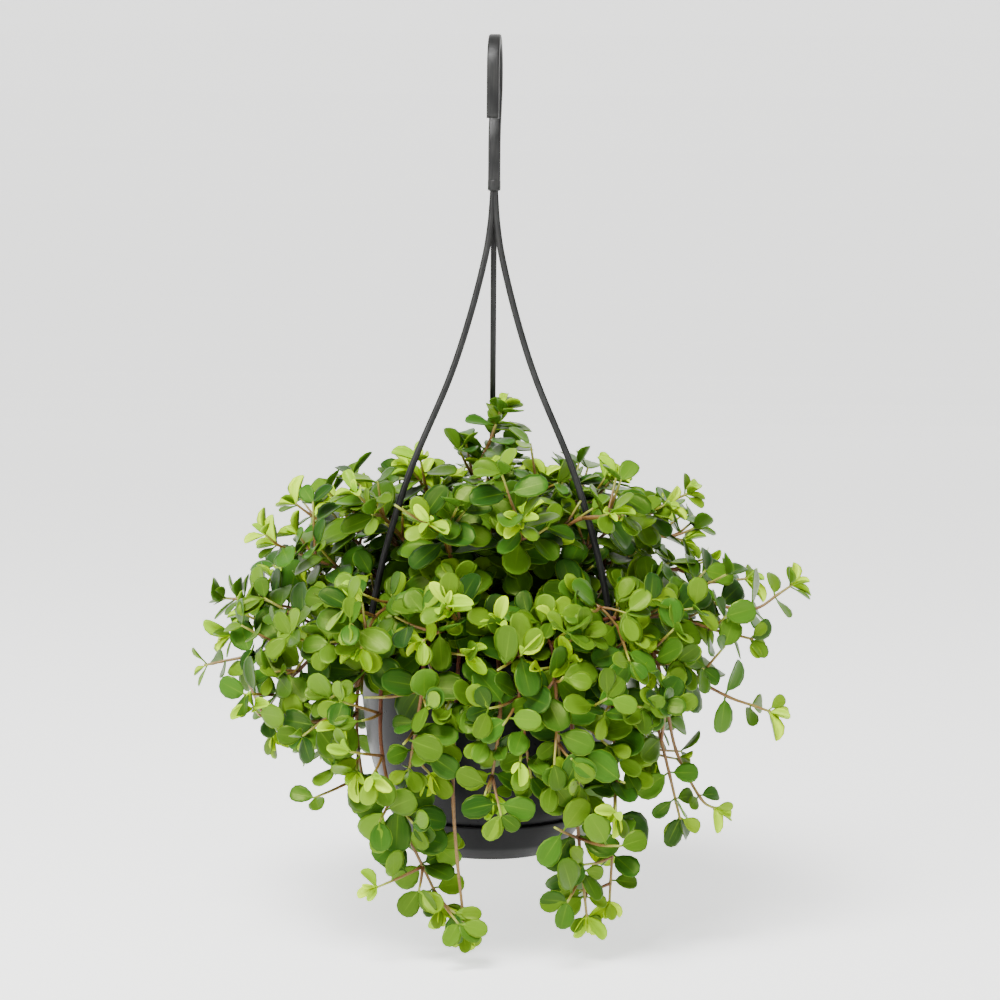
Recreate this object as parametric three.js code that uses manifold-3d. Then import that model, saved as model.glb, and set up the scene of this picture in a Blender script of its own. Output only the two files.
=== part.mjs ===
// A potted trailing jade peperomia in a plastic hanging pot.
// Millimetres, +Z up, the front towards -Y. The origin is the place inside the hook that bears on a rail.

import * as THREE from 'three';
import { mergeVertices } from 'three/addons/utils/BufferGeometryUtils.js';
import Module from 'manifold-3d';

const wasm = await Module();
wasm.setup();

// Heights are measured from the top of the pot's rim, which hangs this far below the origin.
const rimBelowHook = 295;

// Gap between pieces that touch.
const clearance = 0.3;

// Every wall is given by [radius, height] places. The outer wall runs up, the rest go on from there.
const pot = {
  sides: 24,
  outerWall: [[33, -102.4], [40, -99], [46.5, -89.5], [54, -77], [61, -55], [64.6, -28], [67, -2.2]],
  rim: [[74.3, -2.2], [74.3, -6], [76.5, -6], [76.5, -1], [75.5, 0], [65.6, 0]],
  innerWall: [[64.8, -7], [58.9, -55], [51.9, -77], [38.4, -97.9], [32.5, -100.2]],
};
const rimRadius = 76.5;
const flangeThickness = 2.2;
const potFloor = -100.2;
const potUnderside = -102.4;

// The drip saucer is clipped under the pot and hugs its lower wall.
const saucer = {
  underside: -105.4,
  outside: [[35, -105.4], [42.5, -98.6], [50.8, -86.2]],
  inside: [[49.4, -85.4], [40.3, -99.5], [33.2, -102.8]],
};

const soil = {
  sides: 16,
  wallGap: 0.8,
  edge: 64,
  shoulder: 40,
  edgeHeight: -11,
  crownHeight: -3,
  holeSides: 4,
  holeRadius: 2.3,
  holeDepth: 9,
};

// The hook is a flat bar bent in an upright plane, with its nose to the front. As it hangs it is
// turned a few degrees, so that the back of its bow shows beside the nose.
const hook = {
  turn: -3,
  width: 6,
  thickness: 5,
  insideRadius: 14,
  noseLength: 22.5,
  shaftTop: -50,
  collarTop: -66,
  collarBottom: -71.6,
  collarRadius: 3.2,
};

// Each strand leaves the collar, leans out and comes down on the rim. Its route gives the distance
// from the axis and the depth below the origin. A peg under its end goes through the rim.
const strand = {
  azimuths: [-150, -30, 90],
  width: 3,
  thickness: 2.4,
  route: [[0.3, -70], [1.9, -88], [5.2, -105.6], [13.8, -135], [25.4, -165.5], [46, -208], [60, -248],
    [68, -281], [70.8, -294.2]],
  steps: 12,
  pegRadius: 1.5,
  stopRadius: 2.6,
  stopThickness: 1.5,
};
const pegDistance = 70.8;
const strandReach = 2;

const stem = {
  rootRadius: 1.35,
  tipRadius: 0.9,
  roots: 54,
  rootSpread: 56,
  sunkDepth: 8,
  uprightLength: 3,
  spacing: 3.5,
  bareStep: 28,
};

// Whorls of leaves stand closer together towards a stem's tip, and its lowest part is bare. Stems are
// of three kinds: those of the mound, those that show in front, and bare threads.
const whorl = { firstGap: 9, gapGrowth: 4, widestGap: 20, bareShare: 0.4, threes: 0.36 };
const mostWhorls = { mound: 8, shown: 8, thread: 2 };

const leaf = {
  length: 20,
  width: 17.6,
  petiole: 3,
  belowJoint: 1.5,
  keelPlace: 6,
  keelDepth: 1,
  // Share of the blade's length, share of its half width, and height of the blade's edge there.
  edge: [[0.2, 0.66, 0.4], [0.6, 1, 0.7], [0.89, 0.7, 0]],
  tipDroop: 0.8,
  reach: 2.1,
  // Sizes of the leaves from a stem's tip back, for each kind of stem.
  youngSizes: { mound: [0.58, 0.88, 1], shown: [0.44, 0.62, 0.8, 0.95], thread: [0.4, 0.55] },
};

// No leaf grows in the dark middle of the mound.
const shade = { radius: 78, height: 58 };

// Leaves face away from the middle of the mound, and up and forward to the light.
const light = { spread: 0.8, front: -45, up: 42, rise: 0.8, lowest: -40, turned: 0.5 };

// The two front strands lie over the foliage, and a part of the pot's left side shows through it. No
// leaf crosses the lines that run from these to a viewer.
const opening = {
  azimuths: [-150, -30],
  low: 18,
  high: 150,
  steps: 60,
  wall: { azimuths: [-162, -154, -146], distance: 64, heights: [-28, -38, -48, -58] },
  viewer: new THREE.Vector3(0, -1380, 215),
  length: 130,
  halfWidth: 2,
};

// The stems that show in front, by three places each: where it leaves the mound, its middle, its tip.
const shownStems = [
  [[-76, -20, 12], [-108, -22, -3], [-142, -25, -11]],
  [[-83, 5, 14], [-113, 5, 6], [-132, 5, -1]],
  [[-77, 30, 20], [-110, 30, 14], [-138, 30, 15]],
  [[-80, -38, 2], [-100, -45, -20], [-109, -50, -44]],
  [[-55, -60, 6], [-66, -66, -18], [-87, -62, -36]],
  [[-44, 22, 44], [-60, 22, 60], [-70, 22, 68]],
  [[-62, 12, 40], [-86, 14, 56], [-100, 15, 66]],
  [[-66, -14, 30], [-90, -16, 42], [-108, -16, 49]],
  [[89, -20, 27], [124, -25, 18], [149, -25, 32]],
  [[80, 10, 34], [108, 10, 28], [130, 10, 30]],
  [[82, -45, 20], [100, -45, 15], [131, -45, 8]],
  [[80, -40, 6], [106, -45, -16], [138, -50, -28]],
  [[62, 12, 50], [82, 12, 64], [99, 10, 73]],
  [[40, 20, 50], [52, 20, 68], [61, 20, 79]],
  [[-13, 20, 66], [-2, 20, 96], [5, 20, 116]],
  [[36, -70, 12], [40, -88, -54], [47, -86, -121]],
  [[54, -58, 10], [60, -78, -50], [58, -80, -115]],
  [[66, -50, 12], [80, -66, -30], [92, -70, -77]],
  [[-46, -62, 10], [-50, -82, -50], [-22, -82, -118]],
  [[-56, -48, 12], [-64, -64, -26], [-60, -68, -66]],
  [[12, -70, 14], [14, -92, -16], [20, -96, -52]],
  [[-28, -66, 16], [-32, -88, -12], [-38, -92, -50]],
  [[26, -68, 14], [31, -93, -10], [33, -97, -44]],
  [[2, -70, 12], [5, -93, -22], [0, -94, -60]],
];

// Thin stems that hang bare, with leaves at their tips only.
const threadStems = [
  [[-14, -74, 12], [-17, -92, -60], [-11, -88, -129]],
  [[66, -54, 10], [94, -62, -46], [113, -62, -71]],
];

// The other stems fill the mound in rings: how many stand between two azimuths, how far some are
// drawn in, and the [distance, height] of their shoulder, middle and tip.
const rings = [
  { name: 'crown', count: 5, from: 20, to: 335, drawnIn: 0.9, route: [[22, 28], [34, 56], [46, 78]] },
  { name: 'brow', count: 10, from: 0, to: 324, drawnIn: 0.12, route: [[34, 28], [60, 56], [80, 66]] },
  { name: 'near', count: 4, from: -128, to: -52, drawnIn: 0.1, route: [[58, 22], [86, 26], [104, 8]] },
  { name: 'lip', count: 3, from: -118, to: -64, drawnIn: 0.1, route: [[64, 14], [84, 8], [96, -18]] },
  { name: 'far', count: 4, from: 35, to: 145, drawnIn: 0.15, route: [[60, 24], [90, 46], [112, 44]] },
  { name: 'fall', count: 4, from: 45, to: 140, drawnIn: 0.1, route: [[70, 12], [92, -16], [98, -74]] },
];

const fullTurn = 2 * Math.PI;
const up = new THREE.Vector3(0, 0, 1);
const sideways = new THREE.Vector3(1, 0, 0);

// Random numbers that are the same on every run.
let drawState = 33;
function draw() {
  drawState = (Math.imul(drawState, 1664525) + 1013904223) >>> 0;
  return drawState / 4294967296;
}
const between = (low, high) => low + (high - low) * draw();

function atAzimuth(degrees, distance, z) {
  const angle = THREE.MathUtils.degToRad(degrees);
  return new THREE.Vector3(distance * Math.cos(angle), distance * Math.sin(angle), z);
}

function solidOf(geometry) {
  geometry.deleteAttribute('normal');
  geometry.deleteAttribute('uv');
  const merged = mergeVertices(geometry, 1e-4);
  return new wasm.Manifold(new wasm.Mesh({
    numProp: 3,
    vertProperties: new Float32Array(merged.attributes.position.array),
    triVerts: new Uint32Array(merged.index.array),
  }));
}

function geometryOf(solid) {
  const mesh = solid.getMesh();
  const geometry = new THREE.BufferGeometry();
  geometry.setAttribute('position', new THREE.BufferAttribute(mesh.vertProperties, 3));
  geometry.setIndex(new THREE.BufferAttribute(mesh.triVerts, 1));
  return geometry;
}

function facesOf(points, triangles) {
  const geometry = new THREE.BufferGeometry();
  const numbers = points.flatMap((point) => point.toArray());
  geometry.setAttribute('position', new THREE.Float32BufferAttribute(numbers, 3));
  geometry.setIndex(triangles.flat());
  return geometry;
}

function turned(profile, sides) {
  const places = profile.map(([radius, z]) => new THREE.Vector2(radius, z));
  return new THREE.LatheGeometry(places, sides).rotateX(Math.PI / 2);
}

function pillar(radius, low, high, at, sides) {
  return new THREE.CylinderGeometry(radius, radius, high - low, sides)
    .rotateX(Math.PI / 2).translate(at.x, at.y, (low + high) / 2);
}

// A closed bar along a line of points. Its section is a ring of [across, upright] places, sized
// for each point and kept at right angles to the line.
function barAlong(line, section, across, sizes = line.map(() => 1)) {
  const side = across.clone();
  const corners = line.flatMap((point, i) => {
    const before = line[Math.max(i - 1, 0)];
    const after = line[Math.min(i + 1, line.length - 1)];
    const ahead = after.clone().sub(before).normalize();
    side.addScaledVector(ahead, -side.dot(ahead)).normalize();
    const upright = ahead.clone().cross(side);
    return section.map(([a, u]) => point.clone().addScaledVector(side, a * sizes[i])
      .addScaledVector(upright, u * sizes[i]));
  });
  const n = section.length;
  const last = corners.length - n;
  const triangles = [];
  for (let first = 0; first < last; first += n) {
    for (let j = 0; j < n; j++) {
      const [a, b] = [first + j, first + (j + 1) % n];
      triangles.push([a, b, a + n], [b, b + n, a + n]);
    }
  }
  for (let j = 1; j + 1 < n; j++) {
    triangles.push([0, j + 1, j], [last, last + j, last + j + 1]);
  }
  return facesOf(corners, triangles);
}

const barSection = (width, thickness) => [[1, -1], [1, 1], [-1, 1], [-1, -1]]
  .map(([a, u]) => [a * width / 2, u * thickness / 2]);

// The pot: a turned wall with an outward rim, which has a hole for each peg of the hanger.
function makePot() {
  const profile = [[0, potUnderside], ...pot.outerWall, ...pot.rim, ...pot.innerWall, [0, potFloor]];
  let solid = solidOf(turned(profile, pot.sides));
  for (const azimuth of strand.azimuths) {
    const at = atAzimuth(azimuth, pegDistance, 0);
    const hole = pillar(strand.pegRadius + clearance, -flangeThickness - 1, 1, at, 8);
    solid = solid.subtract(solidOf(hole));
  }
  return geometryOf(solid);
}

function makeSaucer() {
  const profile = [[0, saucer.underside], ...saucer.outside, ...saucer.inside,
    [0, potUnderside - clearance - 0.1]];
  return turned(profile, pot.sides);
}

function strandLine(azimuth, steps) {
  const places = strand.route.map(([distance, z]) => atAzimuth(azimuth, distance, z + rimBelowHook));
  return new THREE.CatmullRomCurve3(places, false, 'catmullrom').getPoints(steps);
}

// The hook's middle line: up the nose, round the bow, back under it and down the shaft.
function hookLine() {
  const radius = hook.insideRadius + hook.thickness / 2;
  const place = (y, z) => new THREE.Vector3(0, y, z + rimBelowHook);
  const bow = Array.from({ length: 11 }, (_, i) => Math.PI * i / 10)
    .map((angle) => place(-radius * Math.cos(angle), radius * Math.sin(angle) - hook.insideRadius));
  const bend = 14;
  const back = new THREE.CubicBezierCurve3(place(radius, -hook.insideRadius),
    place(radius, -hook.insideRadius - bend), place(0, hook.shaftTop + bend), place(0, hook.shaftTop));
  return [place(-radius, -hook.insideRadius - hook.noseLength), ...bow, ...back.getPoints(6).slice(1),
    place(0, hook.collarBottom + 1)];
}

// The hanger is one moulding: the hook, a round collar, three strands and a barbed peg under each.
function makeHanger() {
  const bow = barAlong(hookLine(), barSection(hook.width, hook.thickness), sideways);
  let solid = solidOf(bow.rotateZ(THREE.MathUtils.degToRad(hook.turn)));
  const join = (geometry) => {
    solid = solid.add(solidOf(geometry));
  };
  join(pillar(hook.collarRadius, hook.collarBottom + rimBelowHook, hook.collarTop + rimBelowHook, up, 12));
  for (const azimuth of strand.azimuths) {
    const route = strandLine(azimuth, strand.steps);
    join(barAlong(route, barSection(strand.width, strand.thickness), atAzimuth(azimuth + 90, 1, 0)));
    const end = route.at(-1);
    const stop = -flangeThickness - clearance;
    join(pillar(strand.pegRadius, stop - 0.5, end.z + 1, end, 6));
    join(pillar(strand.stopRadius, stop - strand.stopThickness, stop, end, 6));
  }
  return geometryOf(solid);
}

const soilHeight = (distance) => soil.edgeHeight
  + (soil.crownHeight - soil.edgeHeight) * (1 - (distance / soil.edge) ** 2);

// The soil fills the pot to a low dome and has a plain hole for each stem.
function makeSoil(roots) {
  const side = pot.innerWall.slice(1).toReversed().map(([r, z]) => [r - soil.wallGap, z + clearance]);
  const dome = [soil.edge - soil.wallGap, soil.shoulder, 0].map((r) => [r, soilHeight(r)]);
  let solid = solidOf(turned([[0, potFloor + clearance], ...side, ...dome], soil.sides));
  for (const root of roots) {
    const surface = soilHeight(root.length());
    const hole = pillar(soil.holeRadius, surface - soil.holeDepth, surface + 4, root, soil.holeSides);
    solid = solid.subtract(solidOf(hole));
  }
  return geometryOf(solid);
}

// The outside of the saucer, the wall and the rim as one profile that stems and leaves keep clear of.
const outsideProfile = [...saucer.outside, [52.5, -84], ...pot.outerWall.slice(4, 6), [67, -6.5],
  [rimRadius, -6.4], [rimRadius, 0]];

function outsideRadius(z) {
  for (let i = 1; i < outsideProfile.length; i++) {
    const [[lowRadius, low], [highRadius, high]] = [outsideProfile[i - 1], outsideProfile[i]];
    if (z <= high) return lowRadius + (highRadius - lowRadius) * Math.max(z - low, 0) / (high - low);
  }
  return 0;
}

// True where a ball of this radius touches neither the pot nor the soil.
function clearOfPot(point, radius) {
  const room = radius + clearance;
  const distance = Math.hypot(point.x, point.y);
  if (distance < pot.innerWall[0][0] - room) return point.z > soilHeight(distance) + room;
  if (point.z > room) return true;
  return distance > Math.max(outsideRadius(point.z), outsideRadius(Math.min(point.z + room, 0))) + room;
}

// Places on a line of points, no further apart than a step.
function everyStep(line, step) {
  const places = line.slice(1).flatMap((to, i) => {
    const n = Math.ceil(line[i].distanceTo(to) / step);
    return Array.from({ length: n }, (_, k) => line[i].clone().lerp(to, k / n));
  });
  return [...places, line.at(-1)];
}

const farFrom = (places, others, least) => others.every((o) => places.every((p) => p.distanceTo(o) > least));

const strandLines = strand.azimuths.map((azimuth) => strandLine(azimuth, strand.steps));

const openStrands = opening.azimuths.flatMap((azimuth) => strandLine(azimuth, opening.steps))
  .filter(({ z }) => z > opening.low && z < opening.high);
const openWall = opening.wall.azimuths.flatMap((azimuth) => opening.wall.heights
  .map((z) => atAzimuth(azimuth, opening.wall.distance, z)));
const openingLines = [...openStrands, ...openWall]
  .map((place) => [place, opening.viewer.clone().sub(place).setLength(opening.length).add(place)]);

// A stem stands upright in the soil and then runs through its three places.
function stemLine(root, places, nudge) {
  const surface = soilHeight(root.length());
  const foot = root.clone().setZ(surface - stem.sunkDepth);
  const collar = root.clone().setZ(surface + stem.uprightLength);
  const nudged = places.map((place, i) => {
    const size = i === 2 ? nudge / 2 : nudge;
    return place.clone().add(new THREE.Vector3(between(-size, size), between(-size, size),
      between(-size, size)));
  });
  return [foot, ...new THREE.CatmullRomCurve3([collar, ...nudged], false, 'catmullrom').getPoints(24)];
}

// A stem's joints: its foot, where it leaves the soil, its bare part, and then one for each whorl.
function jointsOf(line, kind) {
  const lengths = [0];
  line.slice(1).forEach((place, i) => lengths.push(lengths[i] + place.distanceTo(line[i])));
  const at = (length) => {
    let i = 1;
    while (lengths[i] < length) i++;
    return line[i - 1].clone().lerp(line[i], (length - lengths[i - 1]) / (lengths[i] - lengths[i - 1]));
  };
  const total = lengths.at(-1);
  const whorls = [total - 0.5];
  let gap = whorl.firstGap;
  while (whorls[0] - gap > total * whorl.bareShare && whorls.length < mostWhorls[kind]) {
    whorls.unshift(whorls[0] - gap);
    gap = Math.min(gap + whorl.gapGrowth, whorl.widestGap);
  }
  const bareLength = whorls[0] - lengths[1];
  const parts = Math.ceil(bareLength / stem.bareStep);
  const bare = Array.from({ length: parts - 1 }, (_, k) => lengths[1] + bareLength * (k + 1) / parts);
  return { joints: [line[0], line[1], ...bare.map(at), ...whorls.map(at)], firstWhorl: 1 + parts };
}

function wantedStems() {
  const given = (kind, list) => list.map((places) => ({
    kind, places: places.map((place) => new THREE.Vector3(...place)),
  }));
  const wanted = [...given('shown', shownStems), ...given('thread', threadStems)];
  for (const { count, from, to, drawnIn, route } of rings) {
    for (let i = 0; i < count; i++) {
      const azimuth = from + (to - from) * (i + between(-0.2, 0.2)) / (count - 1);
      const size = 1 - drawnIn * ((i * 0.618) % 1);
      wanted.push({ kind: 'mound', places: route.map(([distance, z], k) => atAzimuth(
        azimuth + 6 * k * between(-1, 1), distance * size, z + (1 - size) * 10)) });
    }
  }
  return wanted;
}

// The roots stand in a sunflower spiral. Each stem takes the nearest free root, and is nudged until
// it is clear of the pot, the strands and the stems before it.
function growStems() {
  const free = Array.from({ length: stem.roots }, (_, i) => atAzimuth(137.508 * i,
    stem.rootSpread * Math.sqrt((i + 0.5) / stem.roots), 0));
  const stems = [];
  for (const { kind, places } of wantedStems()) {
    const start = places[0].clone().setZ(0).clampLength(0, stem.rootSpread);
    free.sort((a, b) => a.distanceTo(start) - b.distanceTo(start));
    const root = free[0];
    for (let attempt = 0; attempt < 60; attempt++) {
      const { joints, firstWhorl } = jointsOf(stemLine(root, places, attempt * 0.4), kind);
      const body = everyStep(joints.slice(1), 2);
      const clear = body.every((place) => clearOfPot(place, stem.rootRadius))
        && strandLines.every((line) => farFrom(body, everyStep(line, 2), stem.spacing + 1))
        && stems.every((other) => farFrom(body, other.body, stem.spacing));
      if (clear) {
        stems.push({ kind, root, joints, firstWhorl, body, leaves: [] });
        free.shift();
        break;
      }
    }
  }
  return stems;
}

// A leaf: where it is rooted, the way it points and faces, and its blade's edge from the root round.
function leafAt(base, direction, face, size) {
  const along = direction.clone().normalize();
  const normal = face.clone().addScaledVector(along, -face.dot(along)).normalize();
  const side = normal.clone().cross(along);
  const length = leaf.length * size;
  const halfWidth = leaf.width / 2 * size;
  const total = leaf.petiole + length;
  const at = (a, s, n) => base.clone().addScaledVector(along, a).addScaledVector(side, s)
    .addScaledVector(normal, n);
  const edge = (sign) => leaf.edge.map(([a, s, n]) => at(leaf.petiole + a * length, sign * s * halfWidth,
    n * size));
  return {
    base, along, normal, side, halfWidth,
    halfLength: total / 2,
    centre: at(total / 2 + 0.5, 0, 0),
    outline: [base, ...edge(-1), at(total, 0, -leaf.tipDroop * size), ...edge(1).toReversed()],
    keel: at(leaf.keelPlace, 0, -leaf.keelDepth),
  };
}

// The blade is arched from its root, 0, to its tip, 4, and its underside falls to the keel, 8.
function bladeOf({ outline, keel }) {
  const above = [[0, 1, 7], [1, 6, 7], [1, 2, 6], [2, 5, 6], [2, 3, 5], [3, 4, 5]];
  const below = outline.map((_, i) => [(i + 1) % outline.length, i, outline.length]);
  return facesOf([...outline, keel], [...above, ...below]);
}

// True where the line from p to q meets the flat oval space round a leaf, grown by so much.
function meetsLeaf(p, q, other, grown) {
  const local = (point) => {
    const offset = point.clone().sub(other.centre);
    return [offset.dot(other.along) / (other.halfLength + grown),
      offset.dot(other.side) / (other.halfWidth + grown), offset.dot(other.normal) / (leaf.reach + grown)];
  };
  const [a, b] = [local(p), local(q)];
  const [dx, dy, dz] = [b[0] - a[0], b[1] - a[1], b[2] - a[2]];
  const [enter, leave] = [(-1 - a[2]) / dz, (1 - a[2]) / dz];
  const low = Math.max(Math.min(enter, leave), 0);
  const high = Math.min(Math.max(enter, leave), 1);
  if (low > high) return false;
  const nearest = -(a[0] * dx + a[1] * dy) / (dx * dx + dy * dy);
  const t = Math.min(Math.max(nearest, low), high);
  return (a[0] + t * dx) ** 2 + (a[1] + t * dy) ** 2 < 1;
}

function leavesMeet(one, two) {
  if (one.centre.distanceTo(two.centre) > one.halfLength + two.halfLength + 3) return false;
  const edgesMeet = (a, b) => a.outline.some((p, i) => meetsLeaf(p, a.outline[(i + 1) % 8], b, 0))
    || meetsLeaf(a.base, a.outline[4], b, 0);
  return edgesMeet(one, two) || edgesMeet(two, one);
}

// True where a leaf is clear of the pot, the strands, the other stems and the leaves of other whorls.
function leafIsClear(grown, owner, joint, stems, leaves) {
  const blade = [...grown.outline.slice(1), grown.keel, grown.centre,
    ...grown.outline.slice(1).map((place) => place.clone().lerp(grown.centre, 0.5))];
  const lineMisses = (line, room) => line.slice(1).every((to, i) => !meetsLeaf(line[i], to, grown, room));
  return blade.every((place) => clearOfPot(place, 0.5))
    && strandLines.every((line) => lineMisses(line, strandReach))
    && openingLines.every((line) => lineMisses(line, opening.halfWidth))
    && stems.every((other) => other === owner || lineMisses(other.joints.slice(1), stem.rootRadius))
    && leaves.every((other) => (other.owner === owner && other.joint === joint)
      || !leavesMeet(grown, other));
}

const inShade = (place) => place.z > 0
  && Math.hypot(Math.hypot(place.x, place.y) / shade.radius, place.z / shade.height) < 1;

const towardsLight = ({ x, y, z }) => new THREE.Vector3(x * light.spread, y * light.spread + light.front,
  Math.max(z, light.lowest) * light.rise + light.up).normalize();

// One try at a leaf of a whorl. It leans along the stem, lies in the mound's surface and faces out.
function tryLeaf(base, ahead, outward, turn, lean, size) {
  const level = up.clone().cross(ahead);
  if (level.length() < 0.2) level.set(1, 0, 0);
  level.normalize();
  const rise = ahead.clone().cross(level);
  const direction = level.multiplyScalar(Math.cos(turn)).addScaledVector(rise, Math.sin(turn))
    .addScaledVector(ahead, lean);
  direction.addScaledVector(outward, -light.turned * direction.dot(outward));
  const face = outward.clone().add(new THREE.Vector3(between(-0.5, 0.5), between(-0.5, 0.5),
    between(-0.2, 0.6)));
  return leafAt(base, direction, face, size);
}

// Whorls grow from the tips back, one joint of every stem at a time.
function growLeaves(stems) {
  const turns = stems.map(() => draw() * fullTurn);
  const leaves = [];
  const mostJoints = Math.max(...stems.map(({ joints }) => joints.length));
  for (let back = 1; back <= mostJoints; back++) {
    stems.forEach((owner, number) => {
      const joint = owner.joints.length - back;
      if (joint < owner.firstWhorl || inShade(owner.joints[joint])) return;
      const ahead = owner.joints[joint].clone().sub(owner.joints[joint - 1]).normalize();
      const base = owner.joints[joint].clone().addScaledVector(ahead, -leaf.belowJoint);
      const outward = towardsLight(base);
      const count = draw() < whorl.threes ? 3 : 2;
      const sizes = leaf.youngSizes[owner.kind];
      const young = sizes[Math.min(back, sizes.length) - 1];
      for (let j = 0; j < count; j++) {
        for (let attempt = 0; attempt < 9; attempt++) {
          const turn = turns[number] + back * 1.5 + fullTurn * j / count + between(-0.35, 0.35);
          const lean = back === 1 ? 0.9 : between(0.1, 0.5);
          const size = young * between(0.86, 1.06) * (1 - 0.07 * Math.max(attempt - 3, 0));
          const grown = tryLeaf(base, ahead, outward, turn, lean, size);
          if (leafIsClear(grown, owner, joint, stems, leaves)) {
            Object.assign(grown, { owner, joint });
            leaves.push(grown);
            owner.leaves.push(grown);
            break;
          }
        }
      }
    });
  }
}

function makeStem({ joints, leaves }) {
  const round = [0, 1, 2].map((i) => [Math.cos(fullTurn * i / 3), Math.sin(fullTurn * i / 3)]);
  const sizes = joints.map((_, i) => THREE.MathUtils.lerp(stem.rootRadius, stem.tipRadius,
    i / joints.length));
  const bar = solidOf(barAlong(joints, round, sideways, sizes));
  return geometryOf(leaves.reduce((solid, grown) => solid.add(solidOf(bladeOf(grown))), bar));
}

const plant = new THREE.Group();
plant.position.z = -rimBelowHook;

function addPiece(name, geometry, color, roughness) {
  const mesh = new THREE.Mesh(geometry, new THREE.MeshStandardMaterial({ color, roughness, metalness: 0 }));
  mesh.name = name;
  plant.add(mesh);
}

const stems = growStems();
growLeaves(stems);

addPiece('pot', makePot(), '#2e2f33', 0.4);
addPiece('saucer', makeSaucer(), '#26272a', 0.45);
addPiece('hanger', makeHanger(), '#3a3b3f', 0.5);
addPiece('soil', makeSoil(stems.map(({ root }) => root)), '#33261c', 1);
stems.forEach((grown, i) => {
  addPiece(`stem_${String(i + 1).padStart(2, '0')}`, makeStem(grown), '#4f8f24', 0.4);
});

export default plant;
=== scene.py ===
import math

import bpy
import numpy as np
from mathutils import Matrix, Vector


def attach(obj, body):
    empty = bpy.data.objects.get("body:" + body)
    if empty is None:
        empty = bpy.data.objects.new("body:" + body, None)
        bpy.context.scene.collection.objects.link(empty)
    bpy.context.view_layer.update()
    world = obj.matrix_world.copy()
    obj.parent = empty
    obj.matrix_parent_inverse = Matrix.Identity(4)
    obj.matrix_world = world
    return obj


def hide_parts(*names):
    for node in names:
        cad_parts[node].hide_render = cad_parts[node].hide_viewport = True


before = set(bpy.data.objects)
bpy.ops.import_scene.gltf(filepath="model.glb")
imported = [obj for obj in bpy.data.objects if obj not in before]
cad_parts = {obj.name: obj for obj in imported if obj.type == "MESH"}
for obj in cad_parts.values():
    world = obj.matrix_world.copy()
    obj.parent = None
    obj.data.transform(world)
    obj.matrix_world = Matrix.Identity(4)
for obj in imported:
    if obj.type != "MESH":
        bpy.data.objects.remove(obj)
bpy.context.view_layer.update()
print("frame loaded,", len(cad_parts), "nodes")

# Pot, hanger and plant are worked out in millimetres, with z = 0 at the pot's rim.
rimBelowHook = 295


def toScene(places):
    return (np.asarray(places, float) - (0, 0, rimBelowHook)) / 1000


# Meshes. A shell is a closed surface: points, quads, triangles, material slot and point attributes.
def shellOf(points, quads, triangles, slot=0, **attributes):
    return {"points": np.asarray(points, float), "quads": np.asarray(quads, int),
            "triangles": np.asarray(triangles, int), "slot": slot, "attributes": attributes}


def addObject(name, data):
    thing = bpy.data.objects.new(name, data)
    bpy.context.scene.collection.objects.link(thing)
    return thing


def makePiece(name, node, shells, materials):
    # the shells become one mesh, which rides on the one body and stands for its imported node
    counts = np.cumsum([0] + [len(shell["points"]) for shell in shells])
    quads = np.vstack([shell["quads"] + count for shell, count in zip(shells, counts)])
    triangles = np.vstack([shell["triangles"] + count for shell, count in zip(shells, counts)])
    slots = np.concatenate([np.full(len(shell[kind]), shell["slot"])
                            for kind in ("quads", "triangles") for shell in shells])
    corners = np.concatenate([quads.ravel(), triangles.ravel()])
    starts = np.concatenate([np.arange(len(quads)) * 4, len(quads) * 4 + np.arange(len(triangles)) * 3])
    mesh = bpy.data.meshes.new(name)
    mesh.vertices.add(int(counts[-1]))
    mesh.vertices.foreach_set("co", toScene(np.vstack([shell["points"] for shell in shells])).ravel())
    mesh.loops.add(len(corners))
    mesh.loops.foreach_set("vertex_index", corners)
    mesh.polygons.add(len(starts))
    mesh.polygons.foreach_set("loop_start", starts)
    mesh.polygons.foreach_set("material_index", slots)
    mesh.polygons.foreach_set("use_smooth", np.ones(len(starts), bool))
    for key in shells[0]["attributes"]:
        layer = mesh.attributes.new(key, "FLOAT_VECTOR", "POINT")
        values = np.vstack([shell["attributes"][key] for shell in shells])
        layer.data.foreach_set("vector", values.astype(np.float32).ravel())
    for material in materials:
        mesh.materials.append(material)
    mesh.update(calc_edges=True)
    piece = addObject(name, mesh)
    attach(piece, "root")
    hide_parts(node)


def ringPattern(count, around):
    # quads join each ring of points to the next, and a fan of triangles closes either end at its pole
    spot = np.arange(around)
    after = (spot + 1) % around
    row = np.arange(count - 1)[:, None] * around
    quads = np.stack([row + spot, row + after, row + around + after, row + around + spot], -1).reshape(-1, 4)
    last = (count - 1) * around
    pole = np.full(around, count * around)
    fans = [np.stack([after, spot, pole], -1), np.stack([spot + last, after + last, pole + 1], -1)]
    return quads, np.vstack(fans)


def closedRings(rings, firstPole, lastPole, slot=0, **attributes):
    points = np.vstack([np.asarray(rings).reshape(-1, 3), firstPole, lastPole])
    return shellOf(points, *ringPattern(*rings.shape[:2]), slot, **attributes)


def roundedProfile(corners, radius, steps=4):
    # each inner corner gives way to a short parabola that starts and ends this far from it
    corners = np.asarray(corners, float)
    line = [corners[:1]]
    t = np.linspace(0, 1, steps + 1)[:, None]
    for before, corner, after in zip(corners[:-2], corners[1:-1], corners[2:]):
        back, on = before - corner, after - corner
        start = corner + back * min(radius / np.linalg.norm(back), 0.45)
        end = corner + on * min(radius / np.linalg.norm(on), 0.45)
        line.append((1 - t) ** 2 * start + 2 * t * (1 - t) * corner + t ** 2 * end)
    return np.vstack(line + [corners[-1:]])


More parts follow.
